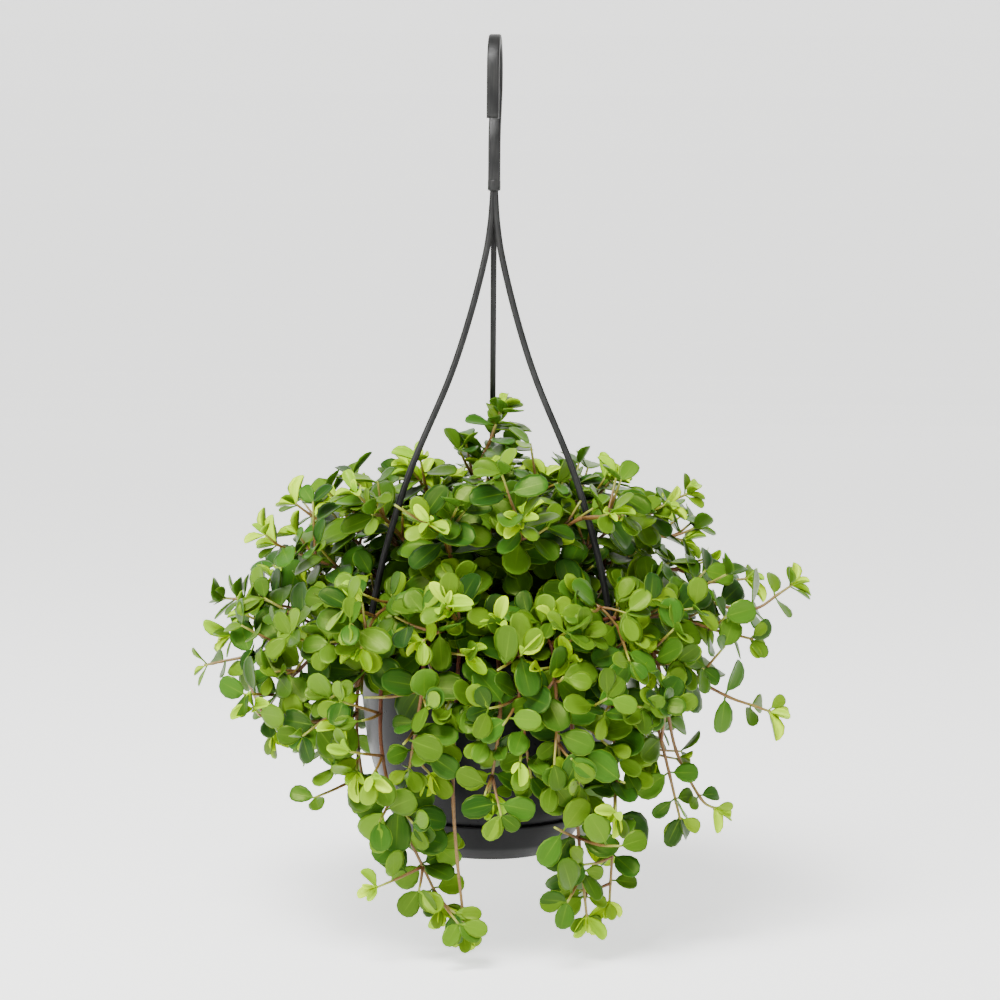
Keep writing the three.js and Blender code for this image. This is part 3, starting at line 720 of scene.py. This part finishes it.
def meets(starts, ends, centre, axes, reach):
    # true where a straight line passes through the flat oval space round a leaf
    a = np.einsum("...k,...ik->...i", starts - centre, axes) / reach
    b = np.einsum("...k,...ik->...i", ends - centre, axes) / reach
    d = b - a
    enter, leave = (-1 - a[..., 2]) / d[..., 2], (1 - a[..., 2]) / d[..., 2]
    low = np.maximum(np.minimum(enter, leave), 0)
    high = np.minimum(np.maximum(enter, leave), 1)
    nearest = -(a[..., 0] * d[..., 0] + a[..., 1] * d[..., 1]) / (d[..., 0] ** 2 + d[..., 1] ** 2)
    t = np.minimum(np.maximum(nearest, low), high)
    return (low <= high) & ((a[..., 0] + t * d[..., 0]) ** 2 + (a[..., 1] + t * d[..., 1]) ** 2 < 1)


def edgesOf(grown):
    outline = grown["outline"]
    return np.vstack([outline, outline[:1]]), np.vstack([np.roll(outline, -1, 0), outline[4:5]])


def openingLines():
    # the two front strands lie over the foliage and a part of the pot's left side shows through it: no leaf
    # crosses the lines that run forward from these
    strands = np.vstack([strandLine(azimuth, opening["steps"]) for azimuth in opening["azimuths"]])
    strands = strands[(strands[:, 2] > opening["low"]) & (strands[:, 2] < opening["high"])]
    wall = opening["wall"]
    patch = [atAzimuth(azimuth, wall["distance"], z) for azimuth in wall["azimuths"] for z in wall["heights"]]
    starts = np.vstack([strands, patch])
    ahead = np.array(opening["viewer"]) - starts
    return starts, starts + ahead / np.linalg.norm(ahead, axis=1)[:, None] * opening["length"]


stems = growStems()
openStarts, openEnds = openingLines()
# the crowd holds every bar and leaf so far as whole arrays, to test a new leaf against
crowd = {
    "barStarts": np.vstack([s["joints"][1:-1] for s in stems]),
    "barEnds": np.vstack([s["joints"][2:] for s in stems]),
    "barOwners": np.concatenate([[i] * (len(s["joints"]) - 2) for i, s in enumerate(stems)]),
    "centres": np.zeros((0, 3)), "axes": np.zeros((0, 3, 3)), "reach": np.zeros((0, 3)),
    "starts": np.zeros((0, 9, 3)), "ends": np.zeros((0, 9, 3)), "whorls": np.zeros((0, 2), int),
}
strandStarts = np.vstack([line[:-1] for line in strandLines])
strandEnds = np.vstack([line[1:] for line in strandLines])


def addToCrowd(grown, owner, joint):
    starts, ends = edgesOf(grown)
    for key, value in (("centres", grown["centre"]), ("axes", grown["axes"]), ("reach", grown["reach"]),
                       ("starts", starts), ("ends", ends), ("whorls", [owner, joint])):
        crowd[key] = np.concatenate([crowd[key], np.asarray(value)[None]])


def leavesOpening(grown):
    return not meets(openStarts, openEnds, grown["centre"], grown["axes"],
                     grown["reach"] + opening["halfWidth"]).any()


def hasRoom(grown, owner, joint, slim=0.0):
    outline, centre, axes = grown["outline"], grown["centre"], grown["axes"]
    rim = outline[1:]
    if not clearOfPot(np.vstack([rim, grown["keel"], centre, rim + (centre - rim) * 0.5]), 0.5):
        return False
    thinner = np.array([0, 0, slim])
    reach = grown["reach"] - thinner
    if not leavesOpening(grown):
        return False
    if meets(strandStarts, strandEnds, centre, axes, grown["reach"] + strand["reach"]).any():
        return False
    others = crowd["barOwners"] != owner
    if meets(crowd["barStarts"][others], crowd["barEnds"][others], centre, axes,
             reach + stem["rootRadius"]).any():
        return False
    close = np.sqrt(((crowd["centres"] - centre) ** 2).sum(1)) <= reach[0] + crowd["reach"][:, 0] + 3
    near = np.flatnonzero(close & ~(crowd["whorls"] == (owner, joint)).all(1))
    if not len(near):
        return True
    starts, ends = edgesOf(grown)
    if meets(starts[None], ends[None], crowd["centres"][near][:, None], crowd["axes"][near][:, None],
             (crowd["reach"][near] - thinner)[:, None]).any():
        return False
    return not meets(crowd["starts"][near], crowd["ends"][near], centre, axes, reach).any()


def inShade(place):
    level = math.hypot(place[0], place[1]) / shade["radius"]
    return place[2] > 0 and math.hypot(level, place[2] / shade["height"]) < 1


def towardsLight(place):
    # a leaf faces away from the mound's middle, and up and forward to the window
    return unit(np.array([place[0] * light["spread"], place[1] * light["spread"] + light["front"],
                          max(place[2], light["lowest"]) * light["rise"] + light["up"]]))


def tryLeaf(base, ahead, outward, turn, lean, size, petiole=leaf["petiole"]):
    # it leans along the stem, lies in the mound's surface and faces the light
    level = cross(np.array([0, 0, 1.0]), ahead)
    level = unit(level) if lengthOf(level) >= 0.2 else np.array([1.0, 0, 0])
    rise = cross(ahead, level)
    direction = level * math.cos(turn) + rise * math.sin(turn) + ahead * lean
    direction = direction - outward * light["turned"] * (direction @ outward)
    face = outward + np.array([between(low, high) for low, high in light["scatter"]])
    return leafAt(base, direction, face, size, petiole)


def youngSize(owner, back):
    sizes = leaf["youngSizes"][owner["kind"]]
    return sizes[min(back, len(sizes)) - 1]


def growLeaves():
    # whorls grow from the tips back, one joint of every stem at a time
    turns = [next(draws) * 2 * math.pi for _ in stems]
    for back in range(1, max(len(s["joints"]) for s in stems) + 1):
        for number, owner in enumerate(stems):
            joint = len(owner["joints"]) - back
            if joint < owner["firstWhorl"] or inShade(owner["joints"][joint]):
                continue
            ahead = unit(owner["joints"][joint] - owner["joints"][joint - 1])
            base = owner["joints"][joint] - ahead * leaf["belowJoint"]
            outward = towardsLight(base)
            count = 3 if next(draws) < whorl["threes"] else 2
            young = youngSize(owner, back)
            for j in range(count):
                for attempt in range(whorl["tries"]):
                    turn = (turns[number] + back * whorl["turn"] + 2 * math.pi * j / count
                            + between(-whorl["turnSpread"], whorl["turnSpread"]))
                    lean = whorl["tipLean"] if back == 1 else between(*whorl["leans"])
                    shrunk = 1 - whorl["shrink"] * max(attempt - whorl["freeTries"], 0)
                    size = young * between(*whorl["sizes"]) * shrunk
                    grown = tryLeaf(base, ahead, outward, turn, lean, size)
                    if hasRoom(grown, number, joint):
                        grown["back"] = back
                        addToCrowd(grown, number, joint)
                        owner["leaves"].append(grown)
                        break


growLeaves()
print("stems", len(stems), "leaves", sum(len(s["leaves"]) for s in stems))

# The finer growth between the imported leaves: fuller whorls, side shoots and the folded young tips.
fill = {
    "slim": 1.6,
    "margin": 1,
    "threadFrom": -25,
    "whorlTries": 14,
    "whorlMost": 4,
    "whorlSizes": (0.75, 1.0),
    "whorlLeans": (0, 0.6),
    "paleStems": 0.9,
    "paleShoots": 0.2,
    "tipSizes": (0.66, 0.56, 0.45, 0.33),
    "tipTurn": 2.4,
    "tipLeans": (0.9, 1.4, 1.9, 2.4),
    "sizeSpread": (0.85, 1.15),
    # how far to the left and right of the axis it reaches at each height, as seen from the front
    "heights": (-156, -134, -103, -72, -58, -42, -21, 20, 50, 71, 81, 90),
    "left": (-15, -42, -66, -76, -98, -116, -125, -125, -103, -84, -58, -22),
    "right": (25, 52, 70, 90, 86, 88, 108, 118, 98, 88, 58, 20),
}
shoot = {
    "atJoint": 2,
    "tries": 12,
    "length": (12, 30),
    "outward": (0.3, 1.1),
    "along": (0.1, 0.8),
    "scatter": ((-0.7, 0.7), (-0.7, 0.7), (-0.3, 0.7)),
    "sag": (-1.5, 0.5),
    "short": 20,
    "shortSpots": (6, 3),
    "longSpots": (6, 4, 2),
    "sizes": (0.55, 0.8, 0.95),
    "pairs": 0.7,
    "leafTries": 4,
    "turnSpread": 0.4,
    "leans": (0.1, 0.5),
    "endLean": 0.8,
}
allOutlines = np.vstack([f["outline"] for s in stems for f in s["leaves"]])
plantLow, plantHigh = allOutlines.min(0) - fill["margin"], allOutlines.max(0) + fill["margin"]


def insideBox(places):
    return (places > plantLow).all() and (places < plantHigh).all()


def insideMound(places):
    # the places as a viewer in front sees them on the upright plane through the axis
    viewer = np.array(opening["viewer"])
    seen = viewer + (places - viewer) * (viewer[1] / (viewer[1] - places[:, 1:2]))
    left, right = (np.interp(seen[:, 2], fill["heights"], fill[key]) for key in ("left", "right"))
    return insideBox(places) and ((seen[:, 0] > left) & (seen[:, 0] < right)).all()


def fits(grown, owner):
    return insideMound(grown["outline"]) and hasRoom(grown, owner, -1, fill["slim"])


def isBare(owner, joint):
    return owner["kind"] == "thread" and owner["joints"][joint][2] < fill["threadFrom"]


def fillWhorls():
    for number, owner in enumerate(stems):
        for joint in range(2, len(owner["joints"])):
            if isBare(owner, joint):
                continue
            back = len(owner["joints"]) - joint
            ahead = unit(owner["joints"][joint] - owner["joints"][joint - 1])
            base = owner["joints"][joint] - ahead * leaf["belowJoint"]
            added = 0
            for _ in range(fill["whorlTries"]):
                size = between(*fill["whorlSizes"]) * youngSize(owner, back)
                grown = tryLeaf(base, ahead, towardsLight(base), between(0, 2 * math.pi),
                                between(*fill["whorlLeans"]), size)
                if added < fill["whorlMost"] and fits(grown, number):
                    grown["back"] = back
                    addToCrowd(grown, number, joint)
                    owner["leaves"].append(grown)
                    added += 1


def barHasRoom(line):
    if not (clearOfPot(line[2:], 0.8) and insideBox(line)):
        return False
    near = np.sqrt(((crowd["centres"] - line[3]) ** 2).sum(1)) < 40
    centres, axes, reach = (crowd[key][near] for key in ("centres", "axes", "reach"))
    return not meets(line[1:-1, None], line[2:, None], centres[None], axes[None], reach - (0, 0, 0.9)).any()


def growShoot(number, owner, joint):
    # a short curved bar from a joint, with a pair of leaves at its end and one or two pairs further back
    start = owner["joints"][joint]
    along = unit(owner["joints"][joint + 1] - start)
    outward = towardsLight(start)
    scatter = np.array([between(low, high) for low, high in shoot["scatter"]])
    way = unit(outward * between(*shoot["outward"]) + along * between(*shoot["along"]) + scatter)
    reach = between(*shoot["length"])
    end = start + way * reach
    middle = start + way * reach * 0.5 + np.array([0, 0, between(*shoot["sag"])])
    line = smoothLine([start, middle, end], 6)
    if not barHasRoom(line):
        return False
    gathered = []
    for order, spot in enumerate(shoot["shortSpots" if reach < shoot["short"] else "longSpots"]):
        size = shoot["sizes"][order] * between(*fill["sizeSpread"])
        turn = between(0, 2 * math.pi)
        for side in range(2 if next(draws) < shoot["pairs"] else 3):
            for _ in range(shoot["leafTries"]):
                lean = shoot["endLean"] if order == 0 else between(*shoot["leans"])
                sideTurn = turn + side * math.pi + between(-shoot["turnSpread"], shoot["turnSpread"])
                grown = tryLeaf(line[spot], way, outward, sideTurn, lean, size)
                if fits(grown, number):
                    grown["back"] = order + 1
                    gathered.append(grown)
                    addToCrowd(grown, number, 1000 + joint)
                    break
    if gathered:
        owner["leaves"] += gathered
        owner["shoots"].append(line)
        crowd["barStarts"] = np.vstack([crowd["barStarts"], start])
        crowd["barEnds"] = np.vstack([crowd["barEnds"], end])
        crowd["barOwners"] = np.append(crowd["barOwners"], number)
    return bool(gathered)


def growShoots():
    for number, owner in enumerate(stems):
        for joint in range(1, len(owner["joints"]) - 1):
            for _ in range(0 if isBare(owner, joint) else shoot["atJoint"]):
                for _ in range(shoot["tries"]):
                    if growShoot(number, owner, joint):
                        break


def growTips():
    # young leaves at the very end of each stem and shoot, each one smaller and more upright than the last
    for owner in stems:
        for line in [owner["joints"]] + owner["shoots"]:
            ahead = unit(line[-1] - line[-2])
            pale = next(draws) < fill["paleStems" if line is owner["joints"] else "paleShoots"]
            turn = between(0, 2 * math.pi)
            leaves = list(zip(fill["tipSizes"], fill["tipLeans"]))[:4 if pale else 2]
            for i, (size, lean) in enumerate(leaves):
                grown = tryLeaf(line[-1] - ahead * 0.5, ahead, towardsLight(line[-1]),
                                turn + i * fill["tipTurn"], lean, size * between(*fill["sizeSpread"]), 1.0)
                if insideBox(grown["outline"]) and leavesOpening(grown):
                    grown["back"] = 0 if pale else 2
                    owner["leaves"].append(grown)


fillWhorls()
print("whorls filled, leaves", sum(len(s["leaves"]) for s in stems))
growShoots()
print("shoots grown, leaves", sum(len(s["leaves"]) for s in stems))
growTips()
print("tips grown, leaves", sum(len(s["leaves"]) for s in stems))

# Leaf and stem surfaces.
blade = {
    "stations": (28, 60, 92, 124, 154),
    "around": 8,
    "widest": (1.02, 1.38),
    "breadth": (0.84, 1.0),
    "roundness": 0.9,
    "thickness": 1.25,
    "thicknessSpread": (0.9, 1.1),
    "bluntness": 0.35,
    "cup": (0.8, 3.2),
    "crease": (0.3, 0.8),
    "keel": 0.3,
    "droop": (0.1, 1.8),
    "droopPower": 2.2,
    "lean": (-0.12, 0.12),
    "wave": (-0.3, 0.3),
    "wavePace": 7,
    "twist": (-0.5, 0.5),
    "freshWidth": 0.62,
    "freshFold": 3.5,
    "petioleRadius": 0.55,
    "petioleSunk": 0.4,
    "below": 0.15,
    "ages": (0.05, 0.8, 0.95, 1.0),
    "ageSpread": (-0.12, 0.1),
}
shapes = np.random.default_rng(5)


def leafShell(leaves):
    # Rings go round each leaf from its petiole to its tip. At angle A along the blade the half width is
    # (sin A) ^ roundness and the place along is ((1 - cos A) / 2) ^ (1 / widest). At angle B round a ring the
    # surface lies cos B across and sin B of the half thickness up, raised at the edges by the cup and sunk
    # along the midrib. Fresh leaves are narrow and still half folded.
    count, around = len(leaves), blade["around"]
    angle = np.radians((0, 0, *blade["stations"]))[None, :, None]
    widest = shapes.uniform(*blade["widest"], (count, 1, 1))
    share, sine = ((1 - np.cos(angle)) / 2) ** (1 / widest), np.sin(angle)
    stalk = sine == 0
    turn = np.arange(around) / around * 2 * math.pi
    across, lift = np.cos(turn), np.sin(turn)
    base, axes, size, petiole = (np.array([f[key] for f in leaves])
                                 for key in ("base", "axes", "size", "petiole"))
    size, petiole = size[:, None, None], petiole[:, None, None]
    length = leaf["length"] * size
    halfWidth = leaf["width"] / 2 * size * shapes.uniform(*blade["breadth"], (count, 1, 1))
    cup, crease, droop, thick, lean, wave, twist = (
        shapes.uniform(*blade[key], (count, 1, 1)) for key in
        ("cup", "crease", "droop", "thicknessSpread", "lean", "wave", "twist"))
    fresh = np.array([f["back"] == 0 for f in leaves])[:, None, None]
    halfWidth = halfWidth * np.where(fresh, blade["freshWidth"], 1)
    cup = cup + np.where(fresh, blade["freshFold"], 0)
    thick = thick * blade["thickness"] * (0.45 + 0.55 * size)
    slender = blade["petioleRadius"] * (0.5 + 0.5 * size)
    a = np.where(stalk, petiole * np.array([0, 0.85, 0, 0, 0, 0, 0])[None, :, None], petiole + share * length)
    s = (np.where(stalk, slender, halfWidth * sine ** blade["roundness"]) * across
         + lean * share ** 2 * halfWidth)
    body = np.where(stalk, slender, thick / 2 * sine ** blade["bluntness"])
    shaped = sine ** 1.5
    n = (body * lift - droop * size * share ** blade["droopPower"] + cup * size * shaped * across ** 2
         + (wave * np.sin(blade["wavePace"] * share) * across ** 3
            + twist * (share - 0.5) * across) * shaped * size
         - crease * sine * (lift > 0.9) - blade["keel"] * size * sine * (lift < -0.9) - blade["below"])
    local = np.stack(np.broadcast_arrays(a, s, n), -1).reshape(count, -1, 3)
    tip = np.concatenate([petiole + length, lean * halfWidth, -droop * size - blade["below"]], -1)
    zero = petiole * 0
    root = np.concatenate([zero - blade["petioleSunk"], zero, zero - blade["below"]], -1)
    local = np.concatenate([local, root, tip], 1)
    points = (base[:, None] + local @ axes).reshape(-1, 3)
    quads, triangles = ringPattern(len(blade["stations"]) + 2, around)
    perLeaf = local.shape[1]
    offset = (np.arange(count) * perLeaf)[:, None, None]
    spots = np.stack(np.broadcast_arrays(share, across, lift), -1).reshape(count, -1, 3)
    spots = np.concatenate([spots, np.tile([[0, 0, 0], [1, 0, 0.2]], (count, 1, 1))], 1).reshape(-1, 3)
    ages = np.array([blade["ages"][min(f["back"], 3)] for f in leaves])
    ages = ages + shapes.uniform(*blade["ageSpread"], count)
    tones = np.stack([np.clip(ages, 0, 1), shapes.uniform(0, 1, count), shapes.uniform(0, 1, count)], -1)
    return shellOf(points, (quads + offset).reshape(-1, 4), (triangles + offset).reshape(-1, 3), 0,
                   bladePlace=spots, leafTone=np.repeat(tones, perLeaf, 0))


bar = {
    "sides": 7,
    "perSpan": 6,
    "radii": (1.25, 0.62),
    "swell": 0.2,
    "swellReach": 0.12,
    "newness": 0.8,
    "shootRadius": 0.85,
    "shootTaper": 0.3,
    "shootNewness": (0.4, 0.5),
}


def barShell(line, radii, newness):
    sides = bar["sides"]
    angle = np.arange(sides) / sides * 2 * math.pi
    way = unit(line[1] - line[0])
    across = np.array([1.0, 0, 0]) if abs(way[0]) < 0.8 else np.array([0, 1.0, 0])
    tones = np.concatenate([np.repeat(newness, sides), [newness[0], newness[-1]]])
    tones = np.stack([tones, tones * 0, tones * 0], -1)
    return sweptShell(line, np.stack([np.cos(angle), np.sin(angle)], -1), across, radii, 1,
                      bladePlace=tones * 0, leafTone=tones)


def stemShells(owner):
    # a smooth bar through the joints, a little swollen at each of them, and one bar for each side shoot
    joints = owner["joints"]
    line = np.vstack([joints[:1], smoothLine(joints[1:], bar["perSpan"] * (len(joints) - 2))])
    place = (np.arange(len(line)) - 1) / bar["perSpan"]
    share = np.maximum(place + 1, 0) / (len(joints) - 1)
    swell = 1 + bar["swell"] * np.exp(-((place - np.round(place)) / bar["swellReach"]) ** 2)
    thick, thin = bar["radii"]
    shells = [barShell(line, (thick * (1 - share) + thin * share) * swell, share * bar["newness"])]
    start, gain = bar["shootNewness"]
    for route in owner["shoots"]:
        share = np.arange(len(route)) / (len(route) - 1)
        shells.append(barShell(route, bar["shootRadius"] - bar["shootTaper"] * share, start + gain * share))
    return shells


for number, owner in enumerate(stems):
    makePiece(f"leafy_stem_{number + 1:02d}", f"stem_{number + 1:02d}",
              [leafShell(owner["leaves"]), *stemShells(owner)], [leafSkin, stemSkin])
print("foliage dressed")

# Soil: a lumpy dome with loose crumbs, closed down to the pot's floor.
crumb = {"relief": 0.6, "waves": 40, "count": 420, "sizes": (0.8, 2.4), "side": 6}
soilSide = [(62.9, -14.5), (57.8, -54.7), (50.9, -76.7), (37.4, -97.4), (31.5, -99.9)]


def soilShells():
    # the dome's height has a sum of sines in x and y added, and its side follows the pot's inner wall
    spread = np.random.default_rng(9)
    angle = np.arange(120) / 120 * 2 * math.pi
    radii = np.linspace(0, soil["edge"] - soil["wallGap"] - 0.3, 45)[:0:-1, None]
    x, y = radii * np.cos(angle), radii * np.sin(angle)
    waves = spread.normal(0, 0.55, (crumb["waves"], 3, 1, 1))
    lumps = np.sin(waves[:, 0] * x + waves[:, 1] * y + waves[:, 2] * 9).sum(0) / crumb["waves"] ** 0.5
    z = soilHeight(np.hypot(x, y)) + crumb["relief"] * (lumps - 1)
    side = np.array(soilSide)[::-1]
    wall = np.stack([side[:, :1] * np.cos(angle), side[:, :1] * np.sin(angle),
                     np.repeat(side[:, 1:], len(angle), 1)], -1)
    rings = np.concatenate([wall, np.stack([x, y, z], -1)])
    shells = [closedRings(rings, (0, 0, side[0, 1]), (0, 0, z[-1].mean()))]
    turn = np.arange(crumb["side"]) / crumb["side"] * 2 * math.pi
    for _ in range(crumb["count"]):
        size = spread.uniform(*crumb["sizes"])
        distance = (soil["edge"] - 5) * math.sqrt(spread.uniform())
        centre = atAzimuth(spread.uniform(0, 360), distance, soilHeight(distance) + spread.uniform(-0.9, 0.1))
        rows = np.stack([np.stack([np.cos(turn) * w, np.sin(turn) * w, turn * 0 + h], -1)
                         for w, h in ((0.6, -0.5), (1.0, 0.0), (0.6, 0.45))]) * size
        rows = rows * spread.uniform(0.75, 1.2, (3, crumb["side"], 1)) + centre
        shells.append(closedRings(rows, centre - (0, 0, 0.7 * size), centre + (0, 0, 0.65 * size)))
    return shells


makePiece("potting_mix", "soil", soilShells(), [soilMaterial()])
print("soil made")

# Stage, light and camera.
stage = {
    "floorHeight": -0.4375, "front": -12, "back": 3, "sweep": 1.6, "top": 5, "halfWidth": 12,
    "paper": "#f4f4f3", "roughness": 0.9, "glow": 1.3,
}


def makeFloor():
    # one sheet: flat, then a quarter circle up into a plain backdrop
    low, back, sweep = stage["floorHeight"], stage["back"], stage["sweep"]
    angle = np.linspace(0, math.pi / 2, 17)
    bend = np.stack([back + sweep * np.sin(angle), low + sweep * (1 - np.cos(angle))], -1)
    profile = np.vstack([[(stage["front"], low)], bend, [(back + sweep, low + stage["top"])]])
    x = np.array([-stage["halfWidth"], stage["halfWidth"]])
    points = np.stack([np.repeat(x[None], len(profile), 0), np.repeat(profile[:, :1], 2, 1),
                       np.repeat(profile[:, 1:], 2, 1)], -1).reshape(-1, 3)
    faces = [(2 * i, 2 * i + 1, 2 * i + 3, 2 * i + 2) for i in range(len(profile) - 1)]
    mesh = bpy.data.meshes.new("studio_floor")
    mesh.from_pydata(points.tolist(), [], faces)
    material, _, shader = newMaterial("matt white studio paper")
    setInputs(shader, {"Base Color": stage["paper"], "Roughness": stage["roughness"],
                       "Emission Color": stage["paper"], "Emission Strength": stage["glow"]})
    mesh.materials.append(material)
    addObject("studio_floor", mesh)


softboxes = {  # place, size and power of each
    "left softbox": ((-1.6, -1.3, 0.7), (1.2, 1.4), 26),
    "right softbox": ((1.7, -1.2, 0.6), (1.2, 1.4), 12),
    "top softbox": ((-0.5, -0.9, 1.4), (0.9, 0.9), 86),
}
# the air carries the paper's white on past its edges, is brightest in a low band all round and dim above
air = {
    "color": "#ffffff", "edge": 1.3, "band": 2.1, "sky": 0.1,
    "rises": (-0.05, 0.06), "fades": (0.105, 0.17),
}


def lightScene():
    for name, (place, size, power) in softboxes.items():
        data = bpy.data.lights.new(name, "AREA")
        data.shape = "RECTANGLE"
        data.size, data.size_y = size
        data.energy = power
        lamp = addObject(name, data)
        lamp.location = place
        lamp.rotation_euler = (Vector((0, 0, -0.3)) - Vector(place)).to_track_quat("-Z", "Y").to_euler()
    world = bpy.data.worlds.new("pale studio air")
    world.use_nodes = True
    tree = world.node_tree
    background = tree.nodes["Background"]
    way = addNode(tree, "TexCoord", {}, {}, "Generated")
    rise = addNode(tree, "SeparateXYZ", {}, {0: way}, 2)
    (low, high), (end, above) = air["rises"], air["fades"]
    band = addNode(tree, "MapRange", {"interpolation_type": "SMOOTHSTEP", "From Min": low, "From Max": high,
                                      "To Min": air["edge"], "To Max": air["band"]}, {0: rise})
    strength = addNode(tree, "MapRange", {"interpolation_type": "SMOOTHSTEP", "From Min": end,
                                          "From Max": above, "To Max": air["sky"]}, {0: rise, "To Min": band})
    background.inputs["Color"].default_value = linear(air["color"])
    tree.links.new(strength, background.inputs["Strength"])
    bpy.context.scene.world = world


view = {
    "place": (0.0041, -1.3814, -0.08), "target": (0.0041, 0, -0.2252), "roll": 0.45,
    "lens": 100, "sensor": 36,
}


def setCamera():
    data = bpy.data.cameras.new("front view")
    data.lens = view["lens"]
    data.sensor_width = view["sensor"]
    camera = addObject("front view", data)
    camera.location = view["place"]
    aim = (Vector(view["target"]) - Vector(view["place"])).to_track_quat("-Z", "Y").to_matrix()
    camera.rotation_euler = (aim @ Matrix.Rotation(math.radians(view["roll"]), 3, "Z")).to_euler()
    bpy.context.scene.camera = camera


makeFloor()
lightScene()
setCamera()
print("stage, lights and camera set")
